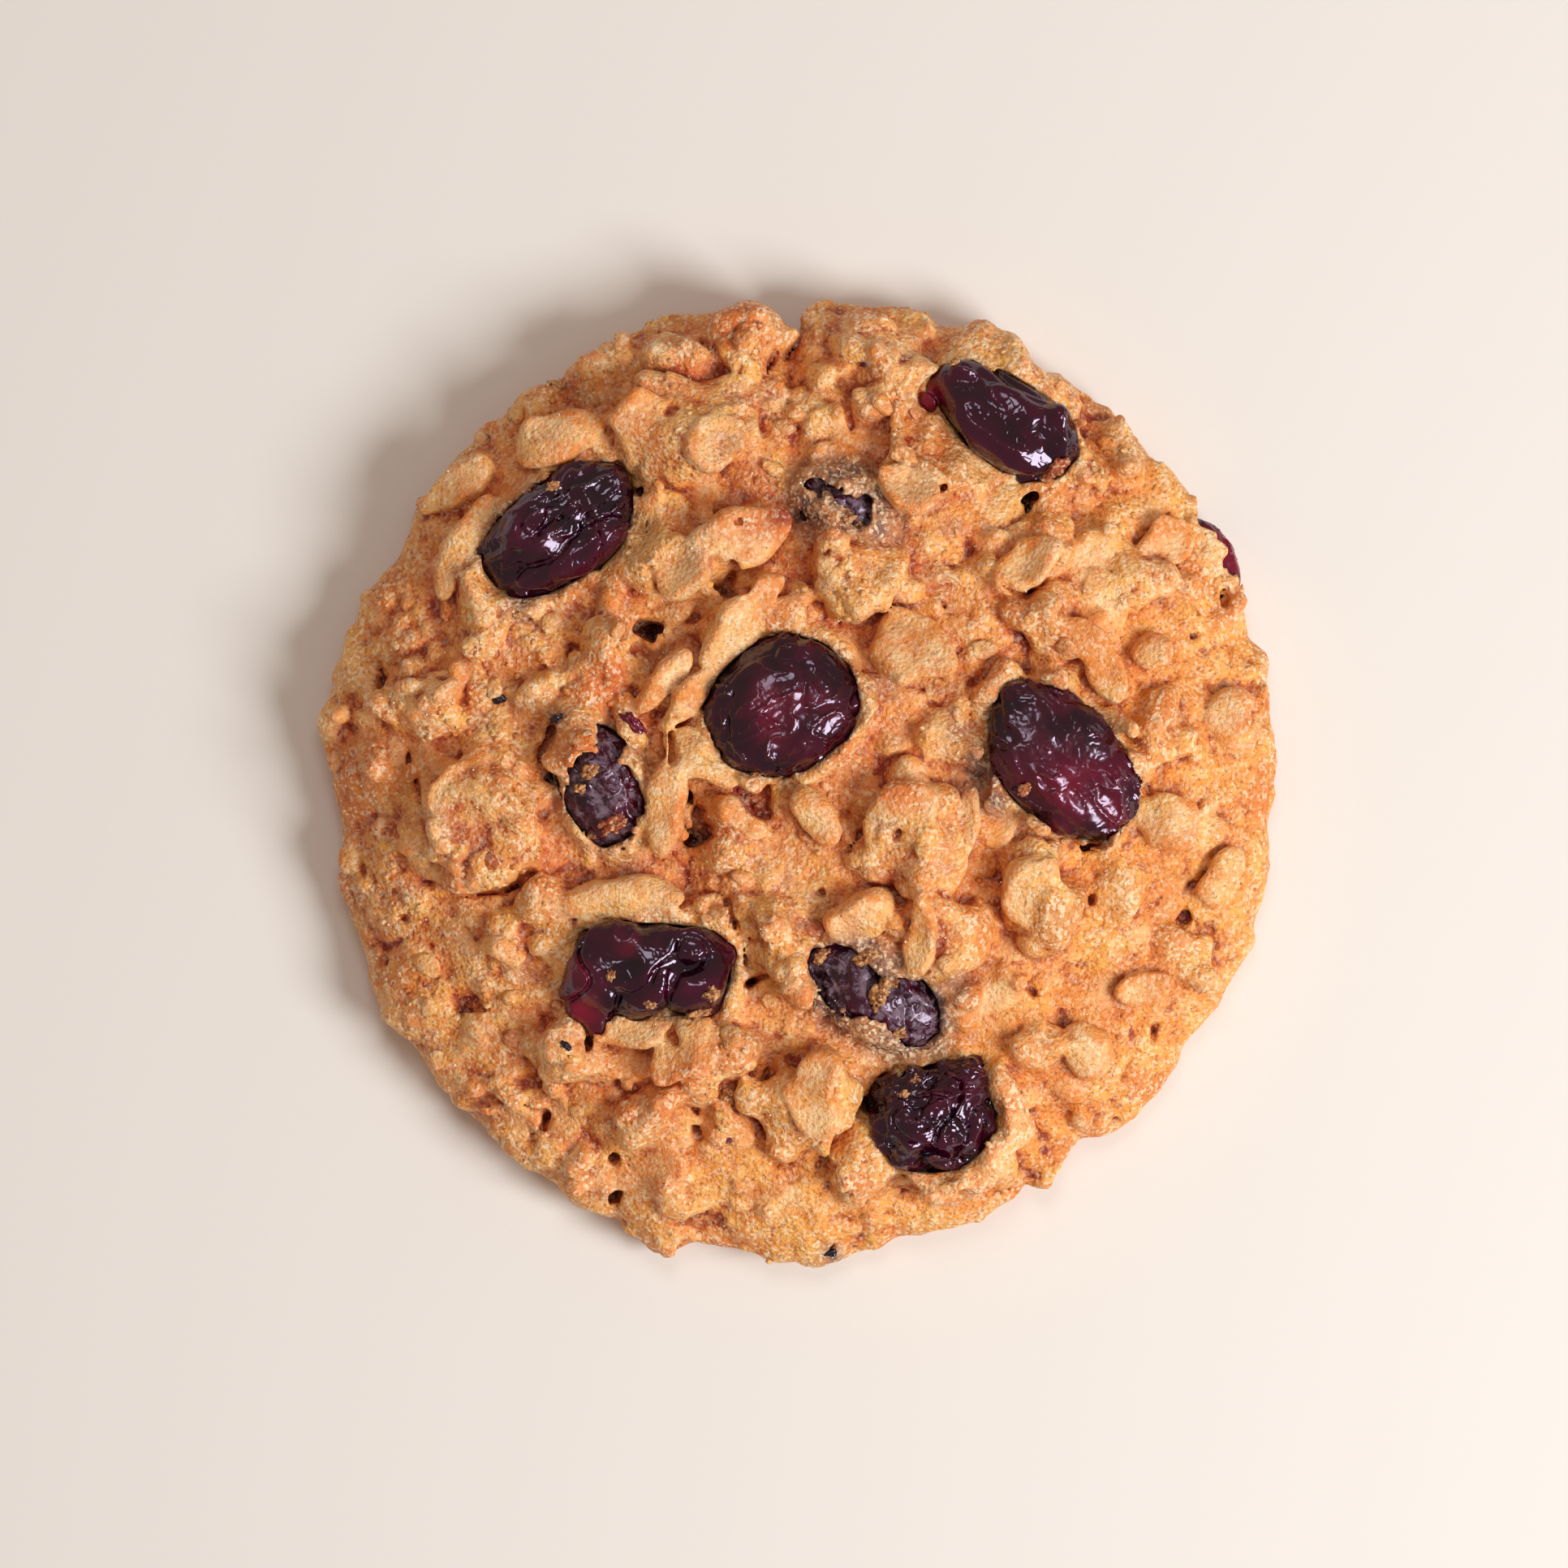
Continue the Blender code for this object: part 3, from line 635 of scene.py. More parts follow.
class Field:
    """A grid of signed distances, negative inside, with a few marks carried along.

    oat says how much a place is bare oat, tone is a tint that each clump has of its own.
    """

    def __init__(self):
        self.low = np.array(GRID_LOW)
        counts = np.ceil((np.array(GRID_HIGH) - self.low) / VOXEL).astype(int)
        self.axes = [self.low[i] + VOXEL * np.arange(counts[i]) for i in range(3)]
        self.dist = np.full(counts, FAR, np.float32)
        self.oat = np.zeros(counts, np.float32)
        self.tone = np.zeros(counts, np.float32)
        self.warp = [grid_noise(self.axes, 1.7 * MM, SEEDS["warp"] + i) for i in range(3)]

    def window(self, centre, reach):
        """The part of the grid within reach of a centre."""
        part = []
        for i in range(3):
            first = int((centre[i] - reach - self.low[i]) / VOXEL)
            last = int((centre[i] + reach - self.low[i]) / VOXEL) + 2
            part.append(slice(max(0, first), max(0, min(len(self.axes[i]), last))))
        return tuple(part)

    def local(self, part, centre, turn, warp):
        """The window's points in a piece's own axes, bent a little by the warp."""
        grids = np.meshgrid(*[self.axes[i][part[i]] - centre[i] for i in range(3)], indexing="ij")
        bent = [grids[i] + warp * self.warp[i][part] for i in range(3)]
        back = np.array(turn).T
        return [sum(back[i][j] * bent[j] for j in range(3)) for i in range(3)]

    def join(self, part, shape, blend, oat, tone):
        """Add a shape, with a fillet of the given size where it meets what is there."""
        share = np.clip(0.5 + 0.5 * (self.dist[part] - shape) / blend, 0.0, 1.0)
        self.dist[part] = smooth_union(self.dist[part], shape, blend)
        self.oat[part] += share * (oat - self.oat[part])
        self.tone[part] += share * (tone - self.tone[part])

    def cut(self, part, shape, blend):
        """Take a shape away, with the rim rounded over the given size."""
        self.dist[part] = -smooth_union(-self.dist[part], shape, blend)

    def sample(self, values, points):
        """A grid's values read between its points."""
        at = (np.asarray(points) - self.low) / VOXEL
        top = np.array(values.shape) - 2
        base = np.clip(np.floor(at).astype(int), 0, top)
        part = np.clip(at - base, 0.0, 1.0)
        total = np.zeros(len(at))
        for corner in np.ndindex(2, 2, 2):
            x, y, z = (base + corner).T
            total += values[x, y, z] * corner_share(corner, part)
        return total


def ellipsoid(local, half, power=2.0):
    """Distance to an ellipsoid, boxy if its power is over 2, good near its surface."""
    share = [np.abs(local[i]) / half[i] + 1e-9 for i in range(3)]
    near = sum(part ** power for part in share) ** (1.0 / power)
    slope = np.sqrt(sum(((part / near) ** (power - 1.0) / half[i]) ** 2
                        for i, part in enumerate(share)))
    return (near - 1.0) / slope


def smooth_union(first, second, blend):
    """Distance to either of two shapes, with a fillet of this size where they meet."""
    fillet = np.maximum(blend - np.abs(first - second), 0.0)
    return np.minimum(first, second) - fillet ** 2 / (4.0 * blend)


def oat_disc(local, half, bend, lobes):
    """Distance to a thin oval disc with a rounded edge, curled by the bend."""
    round_share = np.sqrt((local[0] / half[0]) ** 2 + (local[1] / half[1]) ** 2) + 1e-9
    around = np.arctan2(local[1], local[0])
    uneven = 1.0 + 0.06 * np.sin(3.0 * around + lobes) + 0.04 * np.sin(5.0 * around + 2.0 * lobes)
    edge = 0.45 * half[2]
    side = (round_share / uneven - 1.0) * min(half[0], half[1]) + edge
    face = np.abs(local[2] - bend * (round_share ** 2 - 0.5) * half[2]) - half[2] + edge
    outside = np.sqrt(np.maximum(side, 0.0) ** 2 + np.maximum(face, 0.0) ** 2)
    return outside + np.minimum(np.maximum(side, face), 0.0) - edge


def box_mean(values, width):
    """Each place's mean over a box of the given odd width."""
    half = width // 2
    for axis in range(3):
        padding = [(half + 1, half) if i == axis else (0, 0) for i in range(3)]
        total = np.cumsum(np.pad(values, padding, mode="edge"), axis=axis, dtype=np.float64)
        ahead = np.take(total, range(width, total.shape[axis]), axis=axis)
        behind = np.take(total, range(0, total.shape[axis] - width), axis=axis)
        values = ((ahead - behind) / width).astype(np.float32)
    return values


# ---------------------------------------------------------------- pressing the dough

def lay_dome(field):
    """The plain dome with its rounded shoulder, its foot and its flat underside."""
    x, y, z = np.meshgrid(*field.axes, indexing="ij", sparse=True)
    x = x - DOME_MIDDLE[0]
    y = y - DOME_MIDDLE[1]
    angle = np.arctan2(y, x)
    share = np.hypot(x, y) / (outline_radius(angle) - OUTLINE_SINK)
    crown = np.maximum(crown_height(share, angle) - DOME_SINK, WIDEST_HEIGHT + MM)
    above = ((z - WIDEST_HEIGHT) / (crown - WIDEST_HEIGHT)) ** 2 + share ** SHOULDER_POWER - 1.0
    out = np.maximum(share - FOOT_SHARE, 0.0) / (1.0 - FOOT_SHARE)
    below = ((WIDEST_HEIGHT - z) / WIDEST_HEIGHT) ** 2 + out ** 2 - 1.0
    dome = np.where(z >= WIDEST_HEIGHT, as_distance(above), as_distance(below))
    uneven = DOME_UNEVENNESS * grid_noise(field.axes, DOME_WAVE_WIDTH, SEEDS["dome"])
    field.dist = (dome + uneven).astype(np.float32)


def as_distance(level):
    """Distances near the surface where the level is zero, from how fast it changes."""
    level = level.astype(np.float32)
    slope = np.sqrt(sum(part ** 2 for part in np.gradient(level, VOXEL)))
    return np.clip(level / (slope + 1.0), -FAR, FAR)


def press_lump(field, centre, turn, half, warp, blend, oat, tone):
    """Add an egg-shaped clump, bent by the warp and joined with a fillet."""
    part = field.window(centre, 1.3 * max(half) + 1.5 * MM)
    local = field.local(part, centre, turn, warp)
    field.join(part, ellipsoid(local, half), blend, oat, tone)


def press_flake(field, centre, turn, half, bend, lobes, blend, tone):
    """Add an oat flake, curled by its bend."""
    part = field.window(centre, 1.2 * max(half) + 1.2 * MM)
    local = field.local(part, centre, turn, FLAKE_WARP)
    field.join(part, oat_disc(local, half, bend, lobes), blend, 1.0, tone)


def named_place(pixel, thickness, lift, turn, lean, lean_way):
    """Where a named piece lies, so that its top stands over the dome by its lift."""
    x, y = plan_point(pixel)
    on_dome = dome_lean(x, y)
    tilt = Matrix.Rotation(math.radians(-lean), 3, Vector((
        -math.sin(math.radians(lean_way)), math.cos(math.radians(lean_way)), 0.0)))
    out = on_dome @ Vector((0.0, 0.0, (lift - 0.5 * thickness) * MM))
    return Vector((x, y, dome_height(x, y))) + out, on_dome @ tilt @ spun(turn)


def press_clumps(field, table, seed, lift_share, warp, blend, oat):
    """The clumps of a table, each with a tint of its own."""
    rng = np.random.default_rng(seed)
    for name, pixel, length, width, thickness, turn, lift, lean, lean_way in table:
        centre, matrix = named_place(pixel, thickness, lift_share * lift, turn, lean, lean_way)
        half = half_size(length, width, thickness)
        press_lump(field, centre, matrix, half, warp, blend, oat, rng.uniform(*ANY_TONE))


def press_flakes(field):
    """The named oat flakes, each curled and tinted in its own way."""
    rng = np.random.default_rng(SEEDS["flakes"])
    for name, pixel, length, width, thickness, turn, lift, lean, lean_way in FLAKES:
        centre, matrix = named_place(pixel, thickness, 1.2 * lift, turn, lean, lean_way)
        half = half_size(length, width, thickness)
        press_flake(field, centre, matrix, half, bend=rng.uniform(-0.6, 0.6),
                    lobes=rng.uniform(*ANY_TURN), blend=0.2 * MM, tone=rng.uniform(-0.2, 1))


def surface_spots(field, spacing, seed, lowest):
    """Places on the dough's surface with its normals, spread evenly and never too close."""
    near = np.argwhere(np.abs(field.dist) < 0.5 * VOXEL)
    near = near[near[:, 2] > (lowest - field.low[2]) / VOXEL]
    rng = np.random.default_rng(seed)
    near = near[rng.permutation(len(near))[:MOST_SPOTS]]
    points = field.low + VOXEL * near
    taken = {}
    kept = []
    for index, point in enumerate(points):
        cell = tuple((point // spacing).astype(int))
        around = [taken.get((cell[0] + i, cell[1] + j, cell[2] + k))
                  for i in (-1, 0, 1) for j in (-1, 0, 1) for k in (-1, 0, 1)]
        if all(other is None or np.sum((other - point) ** 2) > spacing ** 2 for other in around):
            taken[cell] = point
            kept.append(index)
    points = points[kept]
    reach = 2.0 * VOXEL
    normals = np.stack([field.sample(field.dist, points + reach * np.eye(3)[i])
                        - field.sample(field.dist, points - reach * np.eye(3)[i])
                        for i in range(3)], axis=1)
    normals /= np.linalg.norm(normals, axis=1)[:, None] + 1e-12
    return points, normals


def turned_to(normal, spin, lean, lean_way):
    """The turn of a piece that lies on a surface with this normal."""
    stand = Vector((0.0, 0.0, 1.0)).rotation_difference(Vector(normal)).to_matrix()
    axis = Vector((math.cos(lean_way), math.sin(lean_way), 0.0))
    return stand @ Matrix.Rotation(lean, 3, axis) @ Matrix.Rotation(spin, 3, "Z")


def press_filler(field):
    """Smaller clumps, flakes and granules, with doughy valleys left between them."""
    rng = np.random.default_rng(SEEDS["filler"])
    press_small_pieces(field, rng)
    press_granules(field, rng)


def press_small_pieces(field, rng):
    """Flakes where the dough faces up, and clumps elsewhere, but for the open valleys."""
    points, normals = surface_spots(field, 3.2 * MM, SEEDS["filler places"], PIECES_FROM)
    bare = noise_at(points, 7.0 * MM, SEEDS["open dough"])
    calm_share = calm_side(points)
    inside = inside_rim(points)
    for point, normal, open_dough, calm, from_rim in zip(points, normals, bare, calm_share, inside):
        size = rng.uniform(0.65, 1.25) * (1.0 - 0.3 * calm)
        matrix = turned_to(normal, rng.uniform(*ANY_TURN), rng.normal(0, 0.16), rng.uniform(*ANY_TURN))
        if open_dough < -0.15 and normal[2] > 0.8:
            continue
        if rng.random() < 0.42 and normal[2] > 0.7 and from_rim > 3.2 * MM:
            half = size * np.array((2.7, 2.0, 0.5)) * MM
            centre = point + normal * (rng.uniform(-0.2, 0.2) - 0.1 * calm) * MM
            press_flake(field, centre, matrix, half, bend=rng.uniform(-0.8, 0.8),
                        lobes=rng.uniform(*ANY_TURN), blend=0.34 * MM, tone=rng.uniform(*ANY_TONE))
        else:
            half = size * np.array((2.5, 1.9, 1.4)) * MM
            sink = rng.uniform(0.65, 1.15) + 0.6 * (1.0 - max(0.0, normal[2])) + 0.25 * calm
            press_lump(field, point - normal * sink * MM, matrix, half, warp=0.9 * MM,
                       blend=0.4 * MM, oat=rng.uniform(0.0, 0.6), tone=rng.uniform(*ANY_TONE))


def press_granules(field, rng):
    """Granules of dough, half sunk, all over the top and the sides."""
    points, normals = surface_spots(field, 2.0 * MM, SEEDS["granule places"], GRANULES_FROM)
    for point, normal, calm in zip(points, normals, calm_side(points)):
        size = rng.uniform(0.3, 0.85) * (1.0 - 0.3 * calm) * MM
        half = size * np.array((1.0, rng.uniform(0.7, 1.0), 0.8))
        matrix = turned_to(normal, rng.uniform(*ANY_TURN), 0.0, 0.0)
        centre = point - normal * size * rng.uniform(0.3, 0.8)
        press_lump(field, centre, matrix, half, warp=0.3 * MM, blend=0.35 * MM,
                   oat=rng.uniform(0, 0.6), tone=rng.uniform(*ANY_TONE))


def berry_frame(name):
    """A packed berry's middle, its own axes from long to short, and its half sizes."""
    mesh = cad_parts[name].data
    points = np.empty(3 * len(mesh.vertices))
    mesh.vertices.foreach_get("co", points)
    points = np.unique(points.reshape(-1, 3).round(7), axis=0)
    middle = 0.5 * (points.min(axis=0) + points.max(axis=0))
    axes = np.linalg.eigh(np.cov((points - middle).T))[1][:, ::-1]
    if np.linalg.det(axes) < 0.0:
        axes[:, 2] = -axes[:, 2]
    along = (points - middle) @ axes
    half = 0.5 * (along.max(axis=0) - along.min(axis=0))
    middle = middle + axes @ (0.5 * (along.max(axis=0) + along.min(axis=0)))
    return middle, axes, half


def press_lips(field, berries):
    """A lip of dough round every berry but the one in the rim."""
    rng = np.random.default_rng(SEEDS["lips"])
    for berry in berries:
        if berry.name != "cranberry_rim":
            sunk = Vector(berry.middle) - Vector((0.0, 0.0, LIP_SINK))
            half = berry.half + np.array(LIP_PAST)
            press_lump(field, sunk, Matrix(berry.axes.tolist()), half, warp=1.6 * MM,
                       blend=0.9 * MM, oat=0.1, tone=rng.uniform(*ANY_TONE))


def as_points(grids):
    """The points of three coordinate grids, one a row."""
    return np.stack([grid.ravel() for grid in grids], axis=1)


def berry_window(field, berry, reach):
    """The part of the grid round a berry, with its points."""
    part = field.window(berry.middle, max(berry.half) + reach)
    grids = np.meshgrid(*[field.axes[i][part[i]] for i in range(3)], indexing="ij")
    return part, as_points(grids), grids[0].shape


def press_hollows(field, berries):
    """The dough sinks towards each whole berry, unevenly, to about the middle of its side."""
    for berry in berries:
        if berry.name not in BURIED:
            part, points, shape = berry_window(field, berry, 3.5 * MM)
            level = berry.levelled(points)
            beside = berry.plain(level)
            uneven = 0.6 + 1.0 * noise_at(level, 2.4 * MM, berry.seed + 8)
            lip = berry.middle[2] + uneven * MM + 0.75 * np.maximum(beside, 0.0)
            hollow = np.maximum(beside - 3.0 * MM, 0.8 * (lip - points[:, 2]))
            field.cut(part, hollow.reshape(shape), blend=0.5 * MM)


def press_pockets(field, berries):
    """The pockets that the berries lie in, open above all that shows of them."""
    for berry in berries:
        part, points, shape = berry_window(field, berry, 2.0 * MM)
        pocket = berry.distance(points) - POCKET_GAP
        beside = berry.plain(berry.levelled(points)) + 0.12 * MM
        above = np.maximum(beside, berry.middle[2] - points[:, 2])
        if berry.name in BURIED:
            above = np.maximum(above, opening(berry, points))
        field.cut(part, np.minimum(pocket, above).reshape(shape), blend=0.2 * MM)


def opening(berry, points):
    """Distance in the plan to the places where a buried berry shows, with ragged edges."""
    ragged = 0.55 * MM * noise_at(points, 1.5 * MM, berry.seed + 9)
    ragged += 0.42 * MM * noise_at(points, 0.6 * MM, berry.seed + 10)
    nearest = np.full(len(points), FAR)
    for owner, pixel, length, width, turn in OPENINGS:
        if owner == berry.name:
            x, y = plan_point(pixel)
            away = (points - np.array((x, y, 0.0))) @ np.array(spun(turn))
            away[:, 2] = 0.0
            half = (0.5 * length * MM, 0.5 * width * MM, 1.0)
            nearest = np.minimum(nearest, ellipsoid(away.T, half))
    return nearest + ragged


def press_sheaths(field, berries):
    """A skin of dough over each buried berry, but for its openings."""
    for berry in berries:
        if berry.name in BURIED:
            part, points, shape = berry_window(field, berry, 2.5 * MM)
            uneven = 1.0 + 0.4 * noise_at(points, 1.1 * MM, berry.seed + 8)
            skin = np.maximum(berry.plain(points) - SHEATH * uneven, -opening(berry, points))
            field.join(part, skin.reshape(shape), blend=0.4 * MM, oat=0.1, tone=0.0)


def trim_rim(field):
    """Hold the clumps at the rim back to the outline, so that none sticks out like a toe."""
    x = field.axes[0][:, None] - DOME_MIDDLE[0]
    y = field.axes[1][None, :] - DOME_MIDDLE[1]
    out = np.hypot(x, y) - outline_radius(np.arctan2(y, x)) - RIM_PROUD
    ragged = np.clip((field.axes[2] - MM) / (4.0 * MM), 0.3, 1.0) * 0.45 * MM
    out = out[:, :, None] + ragged * grid_noise(field.axes, 1.4 * MM, SEEDS["rim"])
    out = out.astype(np.float32)
    out += 0.3 * np.maximum(WIDEST_HEIGHT + MM - field.axes[2], 0.0).astype(np.float32)
    field.dist = -smooth_union(-field.dist, -out, RIM_ROUNDING)


def press_rubble(field):
    """Small broken bits of crumb and oat, crisp at their edges, in patches."""
    rng = np.random.default_rng(SEEDS["rubble"])
    points, normals = surface_spots(field, 1.5 * MM, SEEDS["rubble places"], GRANULES_FROM)
    calm = calm_side(points)
    patch = noise_at(points, 5.0 * MM, SEEDS["rubble patches"]) - 0.3 * calm
    for point, normal, bare, fine in zip(points, normals, patch, calm):
        size = rng.uniform(0.45, 1.15) * (1.0 - 0.3 * fine) * MM
        half = size * np.array((1.0, rng.uniform(0.55, 0.9), rng.uniform(0.35, 0.8)))
        matrix = turned_to(normal, rng.uniform(*ANY_TURN), rng.normal(0, 0.35), rng.uniform(*ANY_TURN))
        centre = point - normal * half[2] * rng.uniform(0.1, 0.8)
        if bare > -0.25 and normal[2] > 0.25:
            part = field.window(centre, 1.3 * size + MM)
            local = field.local(part, centre, matrix, 0.35 * MM)
            field.join(part, ellipsoid(local, half, 3.0), blend=0.2 * MM,
                       oat=rng.uniform(0.0, 1.0), tone=rng.uniform(*ANY_TONE))


def press_holes(field):
    """The named holes, each of three cuts, and pairs of small pores all over."""
    rng = np.random.default_rng(SEEDS["holes"])
    for name, pixel, length, width, depth, turn in HOLES:
        x, y = plan_point(pixel)
        centre = np.array((x, y, surface_height(field, x, y) - 0.2 * depth * MM))
        for cut in range(3):
            half = np.array((0.5 * length, 0.5 * width, depth)) * rng.uniform(0.55, 0.95, 3) * MM
            beside = rng.normal(0.0, 0.16 * length * MM, 3)
            matrix = Matrix.Rotation(math.radians(turn) + rng.normal(0.0, 0.5), 3, "Z")
            cut_hole(field, centre + beside, matrix, half, *RAGGED_HOLE)
    for point in surface_spots(field, 8.0 * MM, SEEDS["pore places"], PORES_FROM)[0]:
        for cut in range(2):
            half = rng.uniform(0.18, 0.5, 3) * MM
            beside = rng.normal(0.0, 0.2 * MM, 3)
            cut_hole(field, point + beside, Matrix.Identity(3), half, *RAGGED_HOLE)


def cut_hole(field, centre, turn, half, warp, blend):
    """Take an egg-shaped hole out of the dough, bent by the warp."""
    part = field.window(centre, max(half) + MM)
    field.cut(part, ellipsoid(field.local(part, centre, turn, warp), half), blend)


def press_cracks(field):
    """The cracks, each a row of small cuts along its route."""
    for name, width, depth, route in CRACKS:
        half = np.array((0.5 * width, 0.5 * width, depth)) * MM
        for start, end in zip(route, route[1:]):
            steps = max(2, int(math.dist(start, end) * PHOTO_SCALE / CRACK_STEP))
            height = surface_height(field, *plan_point(start))
            for step in range(steps):
                x, y = plan_point([a + step / steps * (b - a) for a, b in zip(start, end)])
                cut_hole(field, (x, y, height), Matrix.Identity(3), half, *RAGGED_CRACK)


def surface_height(field, x, y):
    """The height of the dough's top at one place of the plan."""
    i = int(round((x - field.low[0]) / VOXEL))
    j = int(round((y - field.low[1]) / VOXEL))
    inside = np.nonzero(field.dist[i, j] < 0.0)[0]
    return float(field.axes[2][inside[-1]]) if len(inside) else 0.0


def crumble(field):
    """Break the whole surface into rounded crumbs with creases between them."""
    near = np.nonzero(np.abs(field.dist) < CRUMBLE_REACH)
    points = np.stack([field.axes[i][near[i]] for i in range(3)], axis=1)
    bent = points + np.stack([field.warp[i][near] for i in range(3)], axis=1) * (0.6 * MM)
    patch = np.clip(0.55 + 0.9 * noise_at(points, 5.0 * MM, SEEDS["crumbling"]), 0.1, 1.0)
    calm = calm_side(points)
    large, middle, small = [crumb_height(bent, size, SEEDS[name])
                            for name, size in CRUMB_SIZES.items()]
    doughy = 1.0 - 0.9 * field.oat[near]
    push = patch * (0.15 + 0.85 * doughy) * 0.56 * (middle - 0.55)
    push += (0.1 + 0.9 * doughy) * 0.22 * (small - 0.55)
    push = push * (1.0 - 0.4 * calm)
    push += (0.35 + 0.65 * doughy) * (large - 0.6) * (1.0 - 0.3 * calm)
    push *= np.clip((points[:, 2] - MM) / (4.0 * MM), 0.15, 1.0)
    field.dist[near] -= (push * MM).astype(np.float32)


def level_underside(field):
    """Cut the dough flat where it lay on the tray."""
    z = field.axes[2][None, None, :].astype(np.float32)
    bumps = 0.10 * MM * grid_noise(field.axes, 1.6 * MM, SEEDS["underside"])[:, :, :1]
    field.dist = np.maximum(field.dist, -z + np.maximum(bumps, 0.0))


# ---------------------------------------------------------------- from field to mesh

def surface_net(dist, low, voxel):
    """Points and four-sided faces of the surface where the distance changes sign."""
    cells = np.array(dist.shape) - 1
    total = np.zeros((cells.prod(), 3))
    count = np.zeros(cells.prod())
    faces = []
    for axis in range(3):
        first = np.take(dist, range(dist.shape[axis] - 1), axis=axis)
        second = np.take(dist, range(1, dist.shape[axis]), axis=axis)
        places = np.argwhere((first < 0.0) != (second < 0.0))
        others = [i for i in range(3) if i != axis]
        inner = np.all([(places[:, i] > 0) & (places[:, i] < cells[i]) for i in others], axis=0)
        places = places[inner]
        a = first[tuple(places.T)]
        b = second[tuple(places.T)]
        crossing = places.astype(np.float64)
        crossing[:, axis] += a / (a - b)
        corners = []
        for back in ((0, 0), (1, 0), (1, 1), (0, 1)):
            cell = places.copy()
            cell[:, others[0]] -= back[0]
            cell[:, others[1]] -= back[1]
            flat = np.ravel_multi_index(cell.T, cells)
            corners.append(flat)
            count += np.bincount(flat, minlength=len(count))
            for i in range(3):
                total[:, i] += np.bincount(flat, crossing[:, i], minlength=len(count))
        quads = np.stack(corners, axis=1)
        turned = (a < 0.0) if axis != 1 else (a >= 0.0)
        quads[~turned] = quads[~turned][:, ::-1]
        faces.append(quads)
    used = np.nonzero(count)[0]
    renumber = np.full(len(count), -1)
    renumber[used] = np.arange(len(used))
    points = low + voxel * total[used] / count[used][:, None]
    return points, renumber[np.concatenate(faces)]


def mesh_object(name, points, faces):
    """A mesh object from arrays of points and of equally sided faces."""
    mesh = bpy.data.meshes.new(name)
    sides = faces.shape[1]
    mesh.vertices.add(len(points))
    mesh.vertices.foreach_set("co", points.astype(np.float32).ravel())
    mesh.loops.add(faces.size)
    mesh.loops.foreach_set("vertex_index", faces.astype(np.int32).ravel())
    mesh.polygons.add(len(faces))
    mesh.polygons.foreach_set("loop_start", np.arange(0, faces.size, sides, dtype=np.int32))
    mesh.update(calc_edges=True)
    mesh.shade_smooth()
    piece = bpy.data.objects.new(name, mesh)
    bpy.context.scene.collection.objects.link(piece)
    return piece


def mesh_arrays(mesh):
    """A mesh's points and their normals."""
    points = np.empty(3 * len(mesh.vertices), np.float32)
    normals = np.empty(3 * len(mesh.vertices), np.float32)
    mesh.vertices.foreach_get("co", points)
    mesh.vertex_normals.foreach_get("vector", normals)
    return points.reshape(-1, 3).astype(np.float64), normals.reshape(-1, 3).astype(np.float64)


def set_mark(mesh, name, values):
    """Write a value for each point of the mesh, for its material to read."""
    mark = mesh.attributes.new(name, "FLOAT", "POINT")
    mark.data.foreach_set("value", np.asarray(values, np.float32))


def apply_modifiers(piece):
    """Make the piece a plain mesh, as its modifiers leave it."""
    graph = bpy.context.evaluated_depsgraph_get()
    mesh = bpy.data.meshes.new_from_object(piece.evaluated_get(graph))
    old = piece.data
    piece.modifiers.clear()
    piece.data = mesh
    bpy.data.meshes.remove(old)
    mesh.name = piece.name
    return mesh


# ---------------------------------------------------------------- the dough piece

def biggest_body(points, faces):
    """The mesh without the small bodies and bubbles that are not joined to it."""
    label = np.arange(len(points))
    ends = np.concatenate([faces[:, (i, (i + 1) % 4)] for i in range(4)])
    while True:
        first = label[ends[:, 0]]
        second = label[ends[:, 1]]
        apart = first != second
        if not apart.any():
            break
        lower = np.minimum(first[apart], second[apart])
        np.minimum.at(label, np.maximum(first[apart], second[apart]), lower)
        while (label[label] != label).any():
            label = label[label]
    body = label == np.bincount(label).argmax()
    renumber = np.cumsum(body) - 1
    return points[body], renumber[faces[body[faces[:, 0]]]]


def thin_out(piece, triangles):
    """Collapse the edges that matter least, until about this many triangles are left."""
    piece.data.calc_loop_triangles()
    thinner = piece.modifiers.new("thinner", "DECIMATE")
    thinner.ratio = min(1.0, triangles / len(piece.data.loop_triangles))
    apply_modifiers(piece)


def roughen_dough(mesh, oat_share, free):
    """Push the surface in and out by fine crumbs and grains, less so on oats and by the berries."""
    points, normals = mesh_arrays(mesh)
    crumb = noise_at(points, 0.95 * MM, SEEDS["fine crumbs"])
    grain = noise_at(points, 0.55 * MM, SEEDS["grains"])
    push = (0.11 * crumb + 0.08 * grain) * MM * (1.0 - 0.65 * oat_share)
    push *= np.clip(free / (0.7 * MM), 0.0, 1.0)
    points += normals * push[:, None]
    points[:, 2] = np.maximum(points[:, 2], 0.0)
    mesh.vertices.foreach_set("co", points.astype(np.float32).ravel())
    mesh.update()


def stained(points, berries):
    """How much the dough is stained, by the berries near it and in the named places."""
    stain = np.zeros(len(points))
    for name, reach, strength in STAINED_BY:
        spread = berries[name].plain(points) / (reach * MM)
        stain = np.maximum(stain, strength * np.exp(-np.maximum(spread, 0.0) ** 2))
    for name, pixel, radius, strength in STAINS:
        stain = np.maximum(stain, strength * spot(points, pixel, radius))
    return stain * (1.0 + 0.5 * noise_at(points, 1.3 * MM, SEEDS["stains"]))


